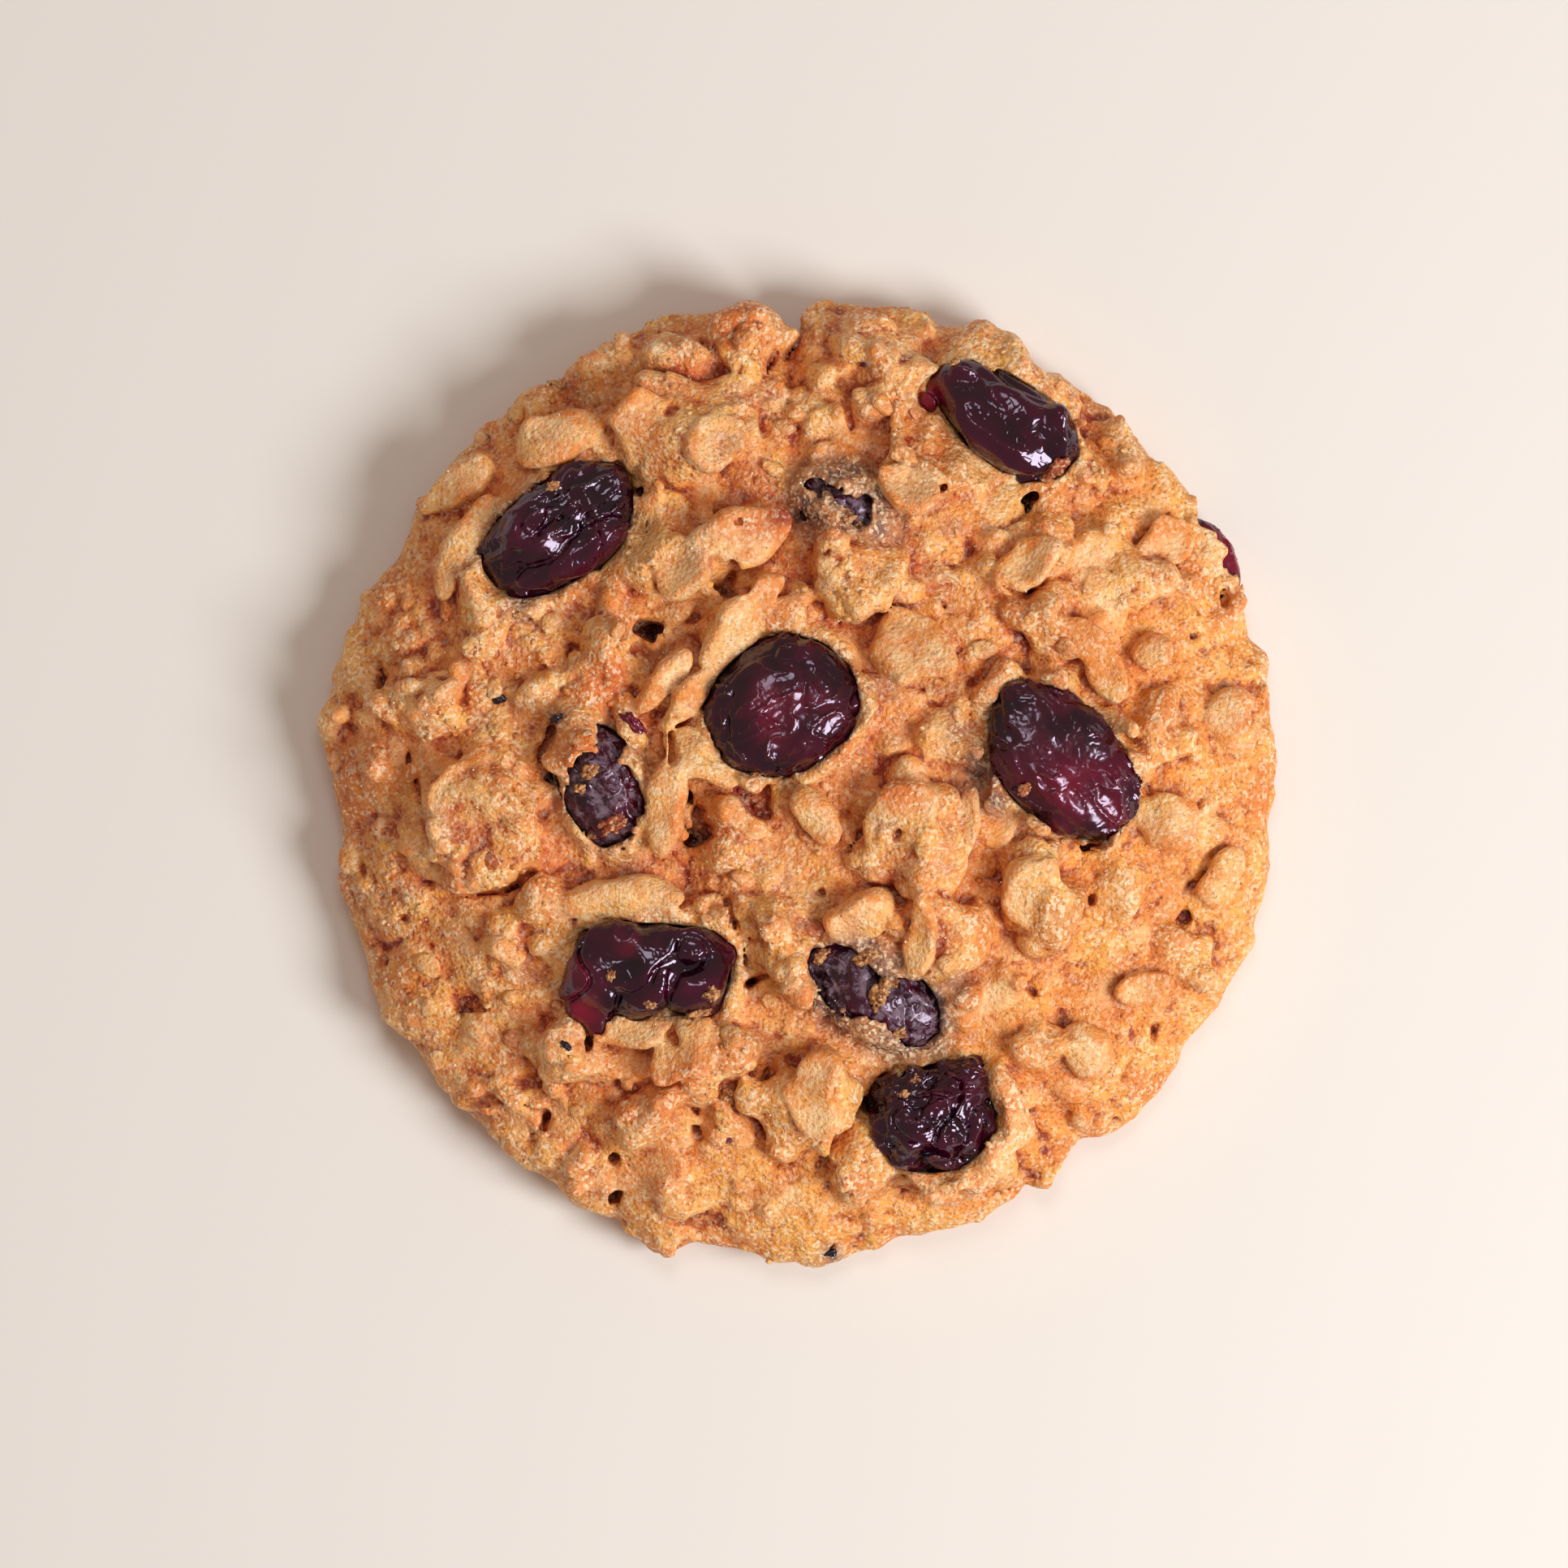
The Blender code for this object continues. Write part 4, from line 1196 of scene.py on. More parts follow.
def toasted(points, rise):
    """How much the dough is toasted: on what stands high, in the named places and at the foot."""
    toast = 0.35 * np.clip(rise, -0.5, 1.0) + 0.35 * noise_at(points, 4.2 * MM, SEEDS["toast"])
    for name, pixel, radius, strength in TOASTED:
        toast = toast + strength * spot(points, pixel, radius)
    return toast + 0.8 * np.clip((BAKED_FOOT - points[:, 2]) / BAKED_FOOT, 0.0, 1.0)


def mark_dough(mesh, field, whole, berries, free):
    """Write where the dough is oat, high, low, stained and toasted, and how deep in a hole it lies for
    its painted shade, for its material.

    free says how far each point is from the berries. Three more marks say where bits may lie.
    """
    points, normals = mesh_arrays(mesh)
    near = np.clip(field.dist, -2.0 * MM, 2.0 * MM)
    out = {name: field.sample(box_mean(near, width), points) / full
           for name, (width, full) in STANDING_OUT.items()}
    # deep: how far a point lies below the surface as it was before the cracks and holes, where the
    # material paints shade.
    deep = ((-field.sample(whole, points) - 0.6 * MM) / (1.1 * MM)).clip(0.0, 1.0)
    apart = np.clip((free - 0.3 * MM) / (0.8 * MM), 0.25, 1.0)
    calm = calm_side(points)
    oat = field.sample(field.oat, points)
    clear = (free > 0.5 * MM) & (points[:, 2] > 3.0 * MM)
    dough_clear = clear * (oat < 0.4)
    broken = noise_at(points, 4.5 * MM, SEEDS["crumbly places"]) - 0.5 * calm > 0.05
    marks = {
        "oat": oat,
        "tone": field.sample(field.tone, points),
        **out,
        "deep": deep * apart * (points[:, 2] > 1.5 * MM),
        "stain": stained(points, berries),
        "toast": toasted(points, out["rise"]),
        "calm": calm,
        "open": np.clip(1.4 * normals[:, 2] - 0.4, 0.0, 1.0) * clear,
        "crumbly": normals[:, 2].clip(0.0, 1.0) * broken * dough_clear,
        "flat": (normals[:, 2] > 0.75) * (calm < 0.6) * dough_clear,
    }
    for name, values in marks.items():
        set_mark(mesh, name, values)


def spot(points, pixel, radius):
    """1 in the middle of a round spot on the plan, falling off over its radius in mm."""
    x, y = plan_point(pixel)
    away = np.hypot(points[:, 0] - x, points[:, 1] - y) / (radius * MM)
    return np.exp(-away ** 2)


def press_dough(berries):
    """The whole dough as a field, and its distances before it was cracked and crumbled."""
    field = Field()
    lay_dome(field)
    press_filler(field)
    press_clumps(field, LUMPS, SEEDS["clumps"], lift_share=1.25, warp=1.0 * MM,
                 blend=0.45 * MM, oat=0.35)
    press_lips(field, berries)
    press_rubble(field)
    press_flakes(field)
    press_hollows(field, berries)
    press_sheaths(field, berries)
    press_clumps(field, COVERS, SEEDS["covers"], lift_share=1.0, warp=0.7 * MM,
                 blend=0.3 * MM, oat=0.1)
    whole = field.dist.copy()
    press_cracks(field)
    crumble(field)
    trim_rim(field)
    press_pockets(field, berries)
    press_holes(field)
    level_underside(field)
    return field, whole


def make_dough(berries):
    """The dough with its oats, as one mesh."""
    field, whole = press_dough(berries.values())
    points, faces = biggest_body(*surface_net(field.dist, field.low, VOXEL))
    dough = mesh_object("dough_and_oats", points, faces)
    thin_out(dough, DOUGH_TRIANGLES)
    points = mesh_arrays(dough.data)[0]
    free = np.minimum.reduce([berry.plain(points) for berry in berries.values()])
    roughen_dough(dough.data, field.sample(field.oat, points), free)
    mark_dough(dough.data, field, whole, berries, free)
    dough.data.shade_smooth()
    dough.data.materials.append(dough_material())
    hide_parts("oat_dough")
    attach(dough, "root")
    return dough


# ---------------------------------------------------------------- the cranberries

class Berry:
    """One cranberry as a distance, so that its skin and its pocket in the dough fit each other.

    Its middle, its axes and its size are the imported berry's.
    """

    def __init__(self, name):
        self.name = name
        self.middle, self.axes, self.half = berry_frame(name)
        self.seed = SEEDS["berries"] + BERRY_SEED_STEP * list(BERRIES).index(name)
        (self.fold_width, self.fold_depth, self.wrinkle_width, self.wrinkle_depth,
         self.crease_depth, self.stretch, self.dent, self.boxy) = BERRIES[name]

    def plain(self, points):
        """Distance to the berry without its folds."""
        along = (points - self.middle) @ self.axes
        half = self.half - (0.0 if self.name in BURIED else SKIN_SINK)
        body = ellipsoid(along.T, half, self.boxy)
        for owner, name, pixel, length, width, thickness, turn, lift in LOBES:
            if owner == self.name:
                x, y = plan_point(pixel)
                away = points - np.array((x, y, self.middle[2] + lift * MM))
                lobe = ellipsoid((away @ np.array(spun(turn))).T, half_size(length, width, thickness))
                body = smooth_union(body, lobe, LOBE_FILLET)
        return body

    def levelled(self, points):
        """The points moved up or down to the height of the berry's middle."""
        level = points.copy()
        level[:, 2] = self.middle[2]
        return level

    def folds(self, points):
        """How far the skin is pushed out, and how high on a fold it is, from 0 to about 1, which the
        skin's painted shade follows.
        """
        along = (points - self.middle) @ self.axes
        shift = [noise_at(along, 2.4 * MM, self.seed + i) for i in range(3)]
        bent = along + 0.5 * MM * np.stack(shift, axis=1)
        bent[:, 0] /= self.stretch
        fold = noise_at(bent, self.fold_width * MM, self.seed + 3)
        lengthwise = bent * np.array((1.0 / WRINKLE_STRETCH, 1.0, 1.0))
        wrinkle = np.abs(noise_at(lengthwise, self.wrinkle_width * MM, self.seed + 4))
        fine = np.abs(noise_at(lengthwise, 0.5 * self.wrinkle_width * MM, self.seed + 7))
        crease = np.abs(noise_at(bent, 1.2 * self.fold_width * MM, self.seed + 6))
        where = np.clip(0.55 + 1.0 * noise_at(along, 4.5 * MM, self.seed + 5), 0.1, 1.0)
        push = self.fold_depth * fold
        push += self.wrinkle_depth * where * (2.2 * np.exp(-wrinkle / 0.14) - 0.7)
        push += 0.25 * self.wrinkle_depth * where * (2.2 * np.exp(-fine / 0.2) - 0.7)
        push -= self.crease_depth * np.exp(-(crease / 0.11) ** 2)
        middle = (along[:, 0] / (0.55 * self.half[0])) ** 2
        middle += (along[:, 1] / (0.5 * self.half[1])) ** 2
        over = np.clip((points[:, 2] - self.middle[2]) / MM, 0.0, 1.0)
        push -= self.dent * np.exp(-middle) * over
        return push * MM, 0.5 + 0.5 * fold + 0.4 * np.exp(-wrinkle / 0.14)

    def distance(self, points):
        """Distance to the berry with its folds, which matter only near the skin."""
        body = self.plain(points)
        near = np.abs(body) < FOLD_REACH
        body[near] -= self.folds(points[near])[0]
        return body


def grow_berry(berry):
    """The skin of one berry, with the folds and wrinkles that it has in the photograph."""
    reach = max(berry.half) + 2.0 * MM
    low = berry.middle - reach
    axis = np.arange(0.0, 2.0 * reach, BERRY_VOXEL)
    grids = np.meshgrid(axis, axis, axis, indexing="ij")
    points = low + as_points(grids)
    dist = berry.distance(points).reshape(grids[0].shape)
    points, faces = biggest_body(*surface_net(dist, low, BERRY_VOXEL))
    piece = mesh_object(berry.name.replace("cranberry", "berry"), points, faces)
    smooth = piece.modifiers.new("smooth", "SMOOTH")
    smooth.factor = 0.5
    smooth.iterations = 2
    mesh = apply_modifiers(piece)
    points = mesh_arrays(mesh)[0]
    set_mark(mesh, "fold", berry.folds(points)[1])
    ruby = [strength * spot(points, pixel, radius) for name, pixel, radius, strength in RUBY]
    set_mark(mesh, "ruby", np.max(ruby, axis=0))
    mesh.shade_smooth()
    filmed = berry.name in FILMED
    mesh.materials.append(berry_material(filmed))
    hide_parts(berry.name)
    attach(piece, "root")
    return piece


# ---------------------------------------------------------------- crumbs

def top_of(x, y, pieces):
    """The height of the highest of these pieces at one place of the plan."""
    start = Vector((x, y, HIGH_UP))
    hits = [piece.ray_cast(start, Vector((0.0, 0.0, -1.0))) for piece in pieces]
    return max([place.z for found, place, normal, face in hits if found], default=0.0)


def place_on_top(pixel, pieces):
    """Where a bit lies on these pieces, moved in a little where it would miss the rim."""
    x, y = plan_point(pixel)
    height = top_of(x, y, pieces)
    while height < BAKED_FOOT:
        x *= STEP_IN
        y *= STEP_IN
        height = top_of(x, y, pieces)
    return np.array((x, y, height))


def round_ball():
    """The points and faces of a ball of 1280 faces."""
    ball = bmesh.new()
    bmesh.ops.create_icosphere(ball, subdivisions=4, radius=1.0)
    points = np.array([corner.co for corner in ball.verts])
    faces = np.array([[corner.index for corner in face.verts] for face in ball.faces])
    ball.free()
    return points, faces


def feed(tree, socket, value):
    """Link a socket to what feeds it, or set a plain value on it."""
    if isinstance(value, bpy.types.NodeSocket):
        tree.links.new(value, socket)
    else:
        socket.default_value = value


def add_node(tree, kind, settings=None, **values):
    """A node with these settings and inputs, where an underscore in a name is a space."""
    node = tree.nodes.new(kind)
    for name, value in (settings or {}).items():
        setattr(node, name, value)
    for name, value in values.items():
        feed(tree, node.inputs[name.replace("_", " ")], value)
    return node


def scatter_tree():
    """Bits lying on the dough: flattened balls, each turned and pushed out of shape."""
    tree = bpy.data.node_groups.new("scattered_bits", "GeometryNodeTree")
    for name, kind in (("Dough", "Geometry"), ("Where", "String"), ("Spacing", "Float"),
                       ("Smallest", "Float"), ("Largest", "Float"), ("Shape", "Vector"),
                       ("Depth", "Float"), ("Lean", "Float"), ("Unevenness", "Float"),
                       ("Oat", "Float"), ("Detail", "Int"), ("Seed", "Int"),
                       ("Material", "Material")):
        tree.interface.new_socket(name, in_out="INPUT", socket_type="NodeSocket" + kind)
    tree.interface.new_socket("Bits", in_out="OUTPUT", socket_type="NodeSocketGeometry")
    add = partial(add_node, tree)
    given = add("NodeGroupInput").outputs

    free = add("GeometryNodeInputNamedAttribute", {"data_type": "FLOAT"}, Name=given["Where"])
    spread = add("GeometryNodeDistributePointsOnFaces", {"distribute_method": "POISSON"},
                 Mesh=given["Dough"], Distance_Min=given["Spacing"], Density_Max=DENSEST,
                 Density_Factor=free.outputs["Attribute"], Seed=given["Seed"])
    ball = add("GeometryNodeMeshIcoSphere", Radius=0.5, Subdivisions=given["Detail"])
    sink = add("ShaderNodeCombineXYZ", Z=given["Depth"])
    bit = add("GeometryNodeTransform", Geometry=ball.outputs["Mesh"], Scale=given["Shape"],
              Translation=sink.outputs["Vector"])

    other_way = add("ShaderNodeMath", {"operation": "MULTIPLY"})
    feed(tree, other_way.inputs[0], given["Lean"])
    feed(tree, other_way.inputs[1], -1.0)
    least = add("ShaderNodeCombineXYZ", X=other_way.outputs["Value"], Y=other_way.outputs["Value"])
    most = add("ShaderNodeCombineXYZ", X=given["Lean"], Y=given["Lean"], Z=math.tau)
    turn = add("FunctionNodeRandomValue", {"data_type": "FLOAT_VECTOR"},
               Min=least.outputs["Vector"], Max=most.outputs["Vector"])
    turn = add("FunctionNodeEulerToRotation", Euler=turn.outputs["Value"])
    turn = add("FunctionNodeRotateRotation", {"rotation_space": "LOCAL"},
               Rotation=spread.outputs["Rotation"], Rotate_By=turn.outputs["Rotation"])
    size = add("FunctionNodeRandomValue", {"data_type": "FLOAT"})
    smallest, largest = [socket for socket in size.inputs if socket.enabled][:2]
    feed(tree, smallest, given["Smallest"])
    feed(tree, largest, given["Largest"])
    any_size = [socket for socket in size.outputs if socket.enabled][0]
    bits = add("GeometryNodeInstanceOnPoints", Points=spread.outputs["Points"],
               Instance=bit.outputs["Geometry"], Rotation=turn.outputs["Rotation"], Scale=any_size)
    bits = add("GeometryNodeRealizeInstances", Geometry=bits.outputs["Instances"])

    place = add("GeometryNodeInputPosition")
    push = add("ShaderNodeTexNoise", Vector=place.outputs["Position"], Scale=1.0 / (0.9 * MM))
    centred = add("ShaderNodeVectorMath", {"operation": "SUBTRACT"})
    feed(tree, centred.inputs[0], push.outputs["Color"])
    feed(tree, centred.inputs[1], (0.5, 0.5, 0.5))
    push = add("ShaderNodeVectorMath", {"operation": "SCALE"}, Scale=given["Unevenness"])
    feed(tree, push.inputs[0], centred.outputs["Vector"])
    bits = add("GeometryNodeSetPosition", Geometry=bits.outputs["Geometry"],
               Offset=push.outputs["Vector"])
    bits = add("GeometryNodeStoreNamedAttribute", {"data_type": "FLOAT", "domain": "POINT"},
               Geometry=bits.outputs["Geometry"], Name="oat", Value=given["Oat"])
    bits = add("GeometryNodeSetMaterial", Geometry=bits.outputs["Geometry"],
               Material=given["Material"])
    add("NodeGroupOutput", Bits=bits.outputs["Geometry"])
    return tree


def scatter(tree, dough, name, sizes):
    """A piece of bits scattered over the dough, made a plain mesh."""
    piece = bpy.data.objects.new(name, dough.data.copy())
    bpy.context.scene.collection.objects.link(piece)
    modifier = piece.modifiers.new("scatter", "NODES")
    modifier.node_group = tree
    for socket in tree.interface.items_tree:
        if socket.in_out == "INPUT" and socket.name.lower() in sizes:
            modifier[socket.identifier] = sizes[socket.name.lower()]
    apply_modifiers(piece).shade_smooth()
    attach(piece, "root")


def scatter_bits(dough, sugar):
    """Everything that is scattered: the sugar grains of sugar, the rest of baked dough."""
    tree = scatter_tree()
    for name, sizes in SCATTERED.items():
        material = sugar if name == "sugar_grains" else dough.data.materials[0]
        scatter(tree, dough, name, {**sizes, "material": material})


def lay_bits(name, table, mark, material, pieces):
    """Single bits, each where it lies in the photograph, on top of these pieces."""
    ball, ball_faces = round_ball()
    points, faces, marks = [], [], []
    for index, (pixel, length, width, thickness, turn, strength) in enumerate(table):
        rough = sum(share * noise_at(ball + BIT_STEP * index, width_share, SEEDS["bits"])
                    for share, width_share in BIT_LUMPS)
        lumpy = ball * (1.0 + rough)[:, None]
        crumb = (lumpy * half_size(length, width, thickness)) @ np.array(spun(turn)).T
        rise = np.array((0.0, 0.0, BIT_RISE * thickness * MM))
        points.append(crumb + place_on_top(pixel, pieces) + rise)
        faces.append(ball_faces + len(ball) * index)
        marks.append(np.full(len(ball), strength))
    piece = mesh_object(name, np.concatenate(points), np.concatenate(faces))
    if mark:
        set_mark(piece.data, mark, np.concatenate(marks))
    piece.data.materials.append(material)
    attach(piece, "root")


# ---------------------------------------------------------------- materials

def tint(red, green, blue):
    """A colour as light, from its usual 0 to 255 numbers."""
    parts = [value / 255.0 for value in (red, green, blue)]
    return [part / 12.92 if part <= 0.04045 else ((part + 0.055) / 1.055) ** 2.4
            for part in parts] + [1.0]


# Where a Mix node has its colours.
MIX_FIRST = 6
MIX_SECOND = 7
MIX_RESULT = 2


class Finish:
    """A material being built: short calls that add and link one shader node each.

    colour is what has been painted so far.
    """

    def __init__(self, name):
        self.material = bpy.data.materials.new(name)
        self.material.use_nodes = True
        self.tree = self.material.node_tree
        self.shader = self.tree.nodes["Principled BSDF"]
        self.add = partial(add_node, self.tree)
        self.place = self.add("ShaderNodeTexCoord").outputs["Object"]
        self.colour = None

    def mark(self, name):
        """What a mark on the mesh says."""
        return self.add("ShaderNodeAttribute", {"attribute_name": name}).outputs["Fac"]

    def noise(self, size, detail=2.0, rough=0.5, stretch=None):
        """Noise of 0 to 1 whose patches are about this wide, in metres."""
        place = self.place
        if stretch:
            place = self.add("ShaderNodeMapping", Vector=place, Scale=stretch).outputs["Vector"]
        node = self.add("ShaderNodeTexNoise", Vector=place, Scale=0.6 / size, Detail=detail,
                        Roughness=rough)
        return node.outputs["Fac"]

    def cells(self, size, out="Distance"):
        """Distance from the middle of the nearest of many cells of this width."""
        return self.add("ShaderNodeTexVoronoi", Vector=self.place, Scale=1.0 / size).outputs[out]

    def math(self, kind, first, second):
        """Two values put together."""
        node = self.add("ShaderNodeMath", {"operation": kind})
        feed(self.tree, node.inputs[0], first)
        feed(self.tree, node.inputs[1], second)
        return node.outputs["Value"]

    def sum(self, first, second):
        """One value plus another."""
        return self.math("ADD", first, second)

    def times(self, first, second):
        """One value times another."""
        return self.math("MULTIPLY", first, second)

    def varied(self, value, noise, share=1.0):
        """A value with noise added, as much up as down."""
        noise = self.sum(noise, -0.5)
        return self.sum(value, noise if share == 1.0 else self.times(noise, share))

    def ramp(self, value, low, high, start=0.0, end=1.0):
        """Take the range low to high smoothly to start to end."""
        node = self.add("ShaderNodeMapRange", {"interpolation_type": "SMOOTHSTEP"}, Value=value,
                        From_Min=low, From_Max=high, To_Min=start, To_Max=end)
        return node.outputs["Result"]

    def mix(self, share, first, second, kind="MIX"):
        """Two colours, mixed by the share of the second."""
        node = self.add("ShaderNodeMix", {"data_type": "RGBA", "blend_type": kind}, Factor=share)
        feed(self.tree, node.inputs[MIX_FIRST], first)
        feed(self.tree, node.inputs[MIX_SECOND], second)
        return node.outputs[MIX_RESULT]

    def paint(self, share, colour, kind="MIX"):
        """Lay a colour over what is painted so far."""
        self.colour = self.mix(share, self.colour, colour, kind)

    def bump(self, height, depth, below=None):
        """The surface's lean where fine relief of this depth lies on it."""
        under = {} if below is None else {"Normal": below}
        node = self.add("ShaderNodeBump", Strength=1.0, Distance=depth, Height=height, **under)
        return node.outputs["Normal"]

    def done(self, roughness, relief=None, **fixed):
        """Feed the shader, and set what is the same all over on its own sockets."""
        shader = {"Base Color": self.colour, "Roughness": roughness}
        if relief is not None:
            shader["Normal"] = relief
        for name, value in fixed.items():
            shader[name.replace("_", " ")] = value
        for name, value in shader.items():
            feed(self.tree, self.shader.inputs[name], value)
        return self.material


def dough_material():
    """Baked oat dough: golden valleys, pale oats, toasted crests, painted shade in its folds and holes,
    and fine grain.
    """
    finish = Finish("baked_oat_dough")
    broad = finish.noise(6.0 * MM, 3.0)
    blotches = finish.noise(2.6 * MM, 4.0, 0.6)
    patchy = finish.noise(1.4 * MM, 3.0, 0.6)
    grain = finish.noise(0.18 * MM, 2.0, 0.6)
    each_grain = finish.cells(0.29 * MM, "Color")
    oat = finish.times(finish.mark("oat"), finish.ramp(blotches, 0.35, 0.6, 0.35, 1.0))
    doughy = finish.ramp(oat, 0.2, 0.9, 1.0, 0.5)
    height = finish.varied(finish.mark("rise"), patchy)
    calm = finish.ramp(finish.mark("calm"), 0.25, 0.85)
    paint_crumb(finish, height, calm, blotches, broad)
    paint_oats(finish, oat, blotches, patchy)
    paint_bake_and_shade(finish, height, calm, patchy, grain)
    paint_grain(finish, height, doughy, patchy, grain, each_grain)
    lumps = finish.times(finish.noise(0.55 * MM, 2.0, 0.6), doughy)
    rounds = finish.times(doughy, finish.ramp(finish.cells(0.4 * MM), 0.0, 0.8, 1.0, 0.0))
    relief = finish.bump(rounds, 0.06 * MM, finish.bump(lumps, 0.24 * MM))
    relief = finish.bump(grain, 0.19 * MM, relief)
    return finish.done(finish.ramp(each_grain, 0.55, 0.75, 0.58, 0.30), relief,
                       Specular_IOR_Level=0.55, Subsurface_Weight=0.3,
                       Subsurface_Radius=(1.0, 0.25, 0.06), Subsurface_Scale=0.7 * MM)


def paint_crumb(finish, height, calm, blotches, broad):
    """The dough itself: deeper in its valleys, with grey, golden, pale and brown patches, and paler
    where it stands highest, partly a painted highlight.
    """
    valley = finish.mix(calm, tint(222, 153, 90), tint(236, 158, 66))
    finish.colour = finish.mix(finish.ramp(height, -0.6, 0.6), valley, tint(242, 170, 82))
    grey = finish.ramp(finish.noise(1.9 * MM, 3.0, 0.6), 0.52, 0.60, 0.0, 0.6)
    finish.paint(finish.times(grey, finish.ramp(calm, 0.0, 1.0, 1.0, 0.2)), tint(186, 132, 98))
    gold = finish.noise(1.7 * MM, 3.0, 0.6, (1.0, 1.3, 0.8))
    finish.paint(finish.ramp(gold, 0.49, 0.57, 0.0, 0.65), tint(250, 188, 94))
    # Partly a painted highlight: the highest crumb is painted pale cream over its own golden tone.
    finish.paint(finish.ramp(height, 0.25, 1.1, 0.0, 0.6), tint(253, 208, 150))
    clump = finish.varied(finish.mark("tone"), broad)
    finish.paint(finish.ramp(clump, -0.9, -0.2, 0.6, 0.0), tint(200, 116, 52))
    brown = finish.ramp(blotches, 0.50, 0.61, 0.0, 0.75)
    finish.paint(finish.times(brown, finish.ramp(height, -0.6, 0.5, 0.35, 1.0)), tint(216, 111, 34))


def paint_oats(finish, oat, blotches, patchy):
    """The oats: pale faces, golden edges and a soft mottle."""
    pale = finish.times(oat, finish.ramp(patchy, 0.38, 0.62, 0.25, 1.0))
    pale = finish.times(pale, finish.ramp(finish.mark("tone"), -1.0, 0.8, 0.3, 1.0))
    finish.paint(pale, tint(255, 220, 164))
    edge = finish.varied(finish.mark("crest"), blotches, 3.0)
    finish.paint(finish.times(oat, finish.ramp(edge, 0.15, 0.8, 0.0, 0.85)), tint(230, 136, 46))
    mottle = finish.ramp(finish.noise(0.8 * MM, 3.0, 0.6), 0.5, 0.62, 0.0, 0.45)
    finish.paint(finish.times(oat, mottle), tint(232, 158, 72))


def paint_bake_and_shade(finish, height, calm, patchy, grain):
    """What the oven and the berries did, toasted crests and stains, and painted shade in the dough's
    folds, cracks, holes and low places.
    """
    toast = finish.varied(finish.mark("toast"), patchy)
    finish.paint(finish.ramp(toast, 0.15, 0.95, 0.0, 0.85), tint(222, 118, 42))
    finish.paint(finish.ramp(toast, 0.9, 1.7), tint(158, 54, 18))
    # Painted shade: darker and redder where the dough lies in a hollow or fold, lighter on the calm
    # side.
    fold = finish.varied(finish.mark("crest"), grain)
    shaded = finish.mix(calm, tint(206, 84, 14), tint(216, 110, 22))
    finish.paint(finish.ramp(fold, -0.85, 0.2, 0.75, 0.0), shaded)
    finish.paint(finish.ramp(fold, -1.3, -0.22, 1.0, 0.0), tint(116, 24, 1))
    # Painted shade: near black deep down in the holes and cracks.
    finish.paint(finish.mark("deep"), tint(52, 12, 4))
    # Painted shade: a dark red-brown line down in each fine crease.
    crease_shade = finish.varied(finish.mark("crease"), grain)
    finish.paint(finish.ramp(crease_shade, -1.6, -0.35, 0.9, 0.0), tint(150, 36, 1))
    stain = finish.varied(finish.mark("stain"), grain)
    finish.paint(finish.ramp(stain, 0.1, 0.6, 0.0, 0.8), tint(176, 118, 84))
    finish.paint(finish.ramp(stain, 0.45, 1.1), tint(112, 86, 84))
    # Painted shade: where the dough lies low it is multiplied darker and redder, less so on the calm
    # side.
    low = finish.ramp(height, -0.7, 0.4, 0.75, 0.0)
    low = finish.times(low, finish.ramp(calm, 0.0, 1.0, 1.0, 0.4))
    finish.paint(low, tint(255, 221, 166), "MULTIPLY")


def paint_grain(finish, height, doughy, patchy, grain, each_grain):
    """Light and dark grains in the dough, the light ones thinned out where it lies low as painted
    shade, and brown specks.
    """
    light = finish.times(doughy, finish.ramp(each_grain, 0.5, 0.8, 0.0, 0.75))
    # Painted shade: fewer light grains where the dough lies low, so that its valleys read darker.
    light = finish.times(light, finish.ramp(height, -0.4, 0.5, 0.35, 1.0))
    finish.paint(light, tint(255, 230, 190))
    finish.paint(finish.times(doughy, finish.ramp(grain, 0.25, 0.5, 0.65, 0.0)), tint(166, 86, 38))
    specks = finish.sum(finish.noise(0.30 * MM, 1.0), finish.ramp(patchy, 0.35, 0.65, -0.08, 0.01))
    finish.paint(finish.ramp(specks, 0.74, 0.78, 0.0, 0.65), tint(124, 58, 26))


def berry_material(filmed):
    """Glossy dark cranberry skin, with painted shade in the hollows between its folds, ruby where it is
    thin, or dulled by a film of dough.
    """
    name = "filmed_cranberry_skin" if filmed else "cranberry_skin_glossy"
    if name in bpy.data.materials:
        return bpy.data.materials[name]
    finish = Finish(name)
    patchy = finish.noise(2.2 * MM, 3.0)
    # Partly painted shade: near black low between the folds and wrinkles, lighter wine on their tops,
    # over the skin's own dark wine.
    fold = finish.varied(finish.mark("fold"), patchy)
    finish.colour = finish.mix(finish.ramp(fold, 0.1, 1.3), tint(12, 0, 8), tint(66, 0, 30))
    ruby = finish.varied(finish.mark("ruby"), patchy)
    finish.paint(finish.ramp(ruby, 0.1, 1.1), tint(116, 2, 34))
    rough = finish.ramp(finish.sum(patchy, finish.mark("ruby")), 0.4, 1.0, 0.07, 0.21)
    if filmed:
        film = finish.ramp(finish.noise(0.55 * MM, 4.0, 0.75), 0.45, 0.64)
        finish.paint(film, tint(112, 88, 100))
        rough = finish.ramp(film, 0.0, 1.0, 0.25, 0.7)
    ridge = finish.math("ABSOLUTE", finish.sum(finish.noise(0.55 * MM, 1.0), -0.5), 0.0)
    creased = finish.bump(finish.ramp(ridge, 0.0, 0.12), 0.018 * MM)
    relief = finish.bump(finish.noise(0.4 * MM, 3.0), 0.010 * MM, creased)
    return finish.done(rough, relief, Specular_IOR_Level=0.85, Specular_Tint=(0.90, 0.78, 1.0, 1.0))


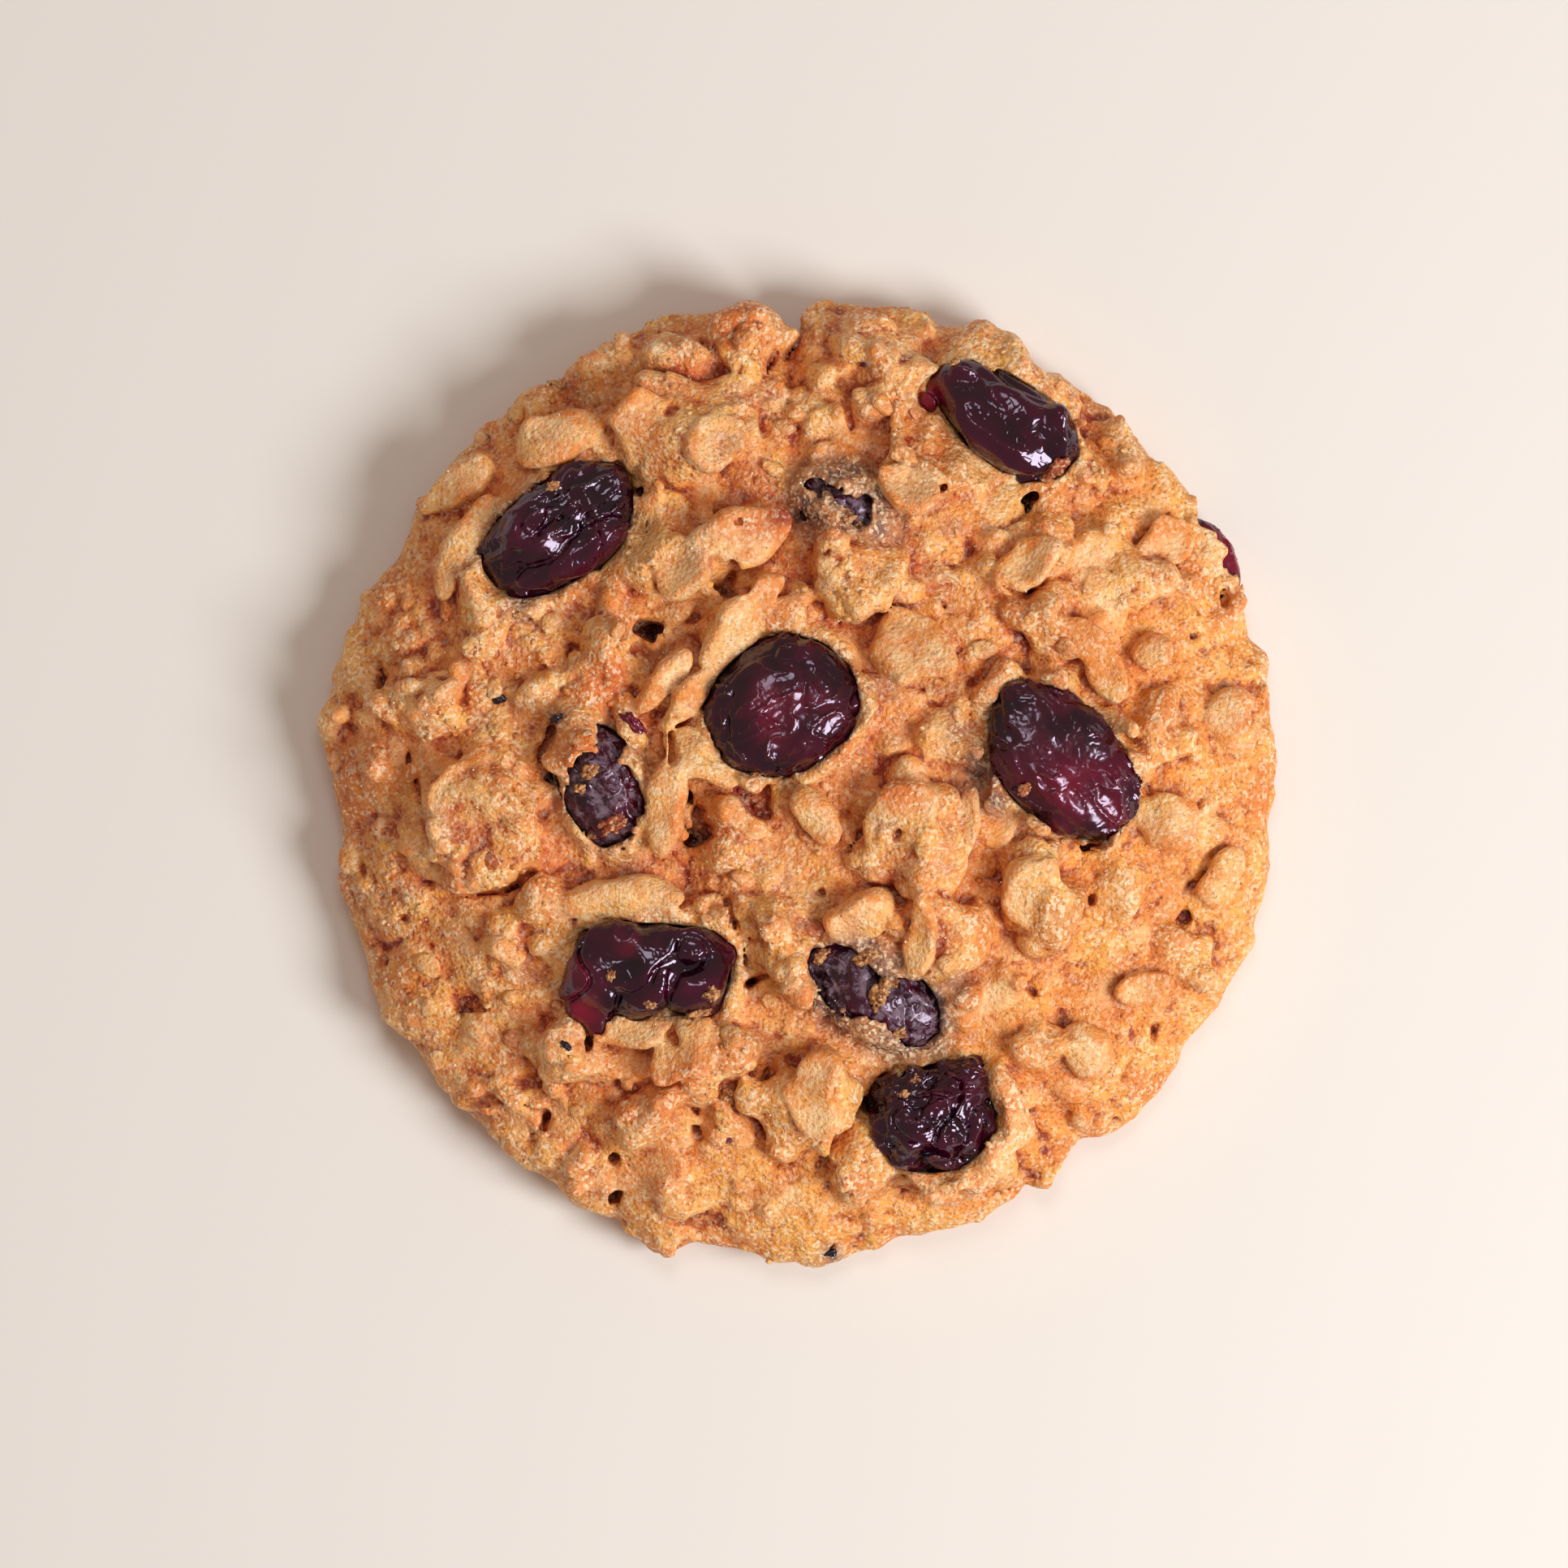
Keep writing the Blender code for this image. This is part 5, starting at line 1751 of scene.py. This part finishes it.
def crumb_material():
    """Loose crumbs: darker than the dough, toasted where their mark says so."""
    finish = Finish("golden_crumb")
    patchy = finish.noise(0.5 * MM, 3.0, 0.6)
    grain = finish.noise(0.14 * MM, 2.0, 0.6)
    each_grain = finish.cells(0.22 * MM, "Color")
    finish.colour = finish.mix(finish.ramp(patchy, 0.38, 0.6), tint(142, 82, 44), tint(216, 156, 98))
    toast = finish.varied(finish.mark("toast"), patchy, 2.0)
    finish.paint(finish.ramp(toast, 0.2, 1.2), tint(158, 52, 26))
    finish.paint(finish.ramp(grain, 0.32, 0.52, 0.8, 0.0), tint(104, 44, 18))
    finish.paint(finish.ramp(each_grain, 0.55, 0.8, 0.0, 0.5), tint(246, 206, 152))
    relief = finish.bump(grain, 0.12 * MM, finish.bump(patchy, 0.3 * MM))
    return finish.done(finish.ramp(each_grain, 0.55, 0.75, 0.6, 0.3), relief,
                       Specular_IOR_Level=0.4, Subsurface_Weight=0.2,
                       Subsurface_Radius=(1.0, 0.3, 0.08), Subsurface_Scale=0.5 * MM)


def sugar_material():
    """Clear white sugar."""
    finish = Finish("sugar")
    finish.colour = finish.mix(finish.noise(1.0 * MM), tint(255, 236, 212), tint(255, 250, 244))
    return finish.done(0.12, Specular_IOR_Level=0.6)


def floor_material():
    """A pale, dull floor."""
    finish = Finish("pale_floor")
    finish.colour = tint(236, 234, 230)
    return finish.done(finish.ramp(finish.noise(3.0 * MM, 2.0), 0.3, 0.7, 0.6, 0.7))


# ---------------------------------------------------------------- floor, light and camera

def make_floor():
    """The plain floor that the cookie lies on."""
    mesh = bpy.data.meshes.new("floor")
    corners = [(x * FLOOR_REACH, y * FLOOR_REACH, 0.0) for x, y in ((-1, -1), (1, -1), (1, 1), (-1, 1))]
    mesh.from_pydata(corners, [], [(0, 1, 2, 3)])
    floor = bpy.data.objects.new("floor", mesh)
    bpy.context.scene.collection.objects.link(floor)
    mesh.materials.append(floor_material())


def area_light(name, azimuth, elevation, distance, size, watts, colour):
    """A round soft light that faces the cookie."""
    light = bpy.data.lights.new(name, "AREA")
    light.shape = "DISK"
    light.size = size
    light.energy = watts
    light.color = colour
    lamp = bpy.data.objects.new(name, light)
    turn = math.radians(azimuth)
    rise = math.radians(elevation)
    away = Vector((math.cos(rise) * math.cos(turn), math.cos(rise) * math.sin(turn), math.sin(rise)))
    lamp.location = away * distance
    lamp.rotation_euler = away.to_track_quat("Z", "Y").to_euler()
    bpy.context.scene.collection.objects.link(lamp)


def make_light():
    """The two lights and the warm light from all round."""
    for name, settings in LIGHTS.items():
        area_light(name, *settings)
    world = bpy.data.worlds.new("studio")
    world.use_nodes = True
    room = world.node_tree.nodes["Background"]
    room.inputs["Color"].default_value = ROOM_COLOUR
    room.inputs["Strength"].default_value = ROOM_STRENGTH
    bpy.context.scene.world = world
    bpy.context.scene.view_settings.view_transform = "Standard"


def make_camera():
    """The camera, straight above, with the photograph's frame."""
    camera = bpy.data.cameras.new("camera")
    camera.sensor_width = SENSOR_WIDTH
    camera.lens = SENSOR_WIDTH * CAMERA_DISTANCE / (PHOTO_PIXELS * PHOTO_SCALE)
    camera.clip_end = CAMERA_REACH
    eye = bpy.data.objects.new("camera", camera)
    x, y = plan_point((0.5 * PHOTO_PIXELS, 0.5 * PHOTO_PIXELS))
    eye.location = (x, y, 0.5 * CENTRE_HEIGHT + CAMERA_DISTANCE)
    bpy.context.scene.collection.objects.link(eye)
    bpy.context.scene.camera = eye


# ---------------------------------------------------------------- the whole cookie


make_floor()
make_light()
make_camera()
berries = {name: Berry(name) for name in BERRIES}
dough = make_dough(berries)
skins = [grow_berry(berry) for berry in berries.values()]
sugar = sugar_material()
lay_bits("single_crumbs", CRUMBS, "toast", crumb_material(), [dough] + skins)
lay_bits("berry_bits", BERRY_BITS, "ruby", berry_material(False), [dough])
lay_bits("sugar_dots", SUGAR_DOTS, None, sugar, [dough])
scatter_bits(dough, sugar)
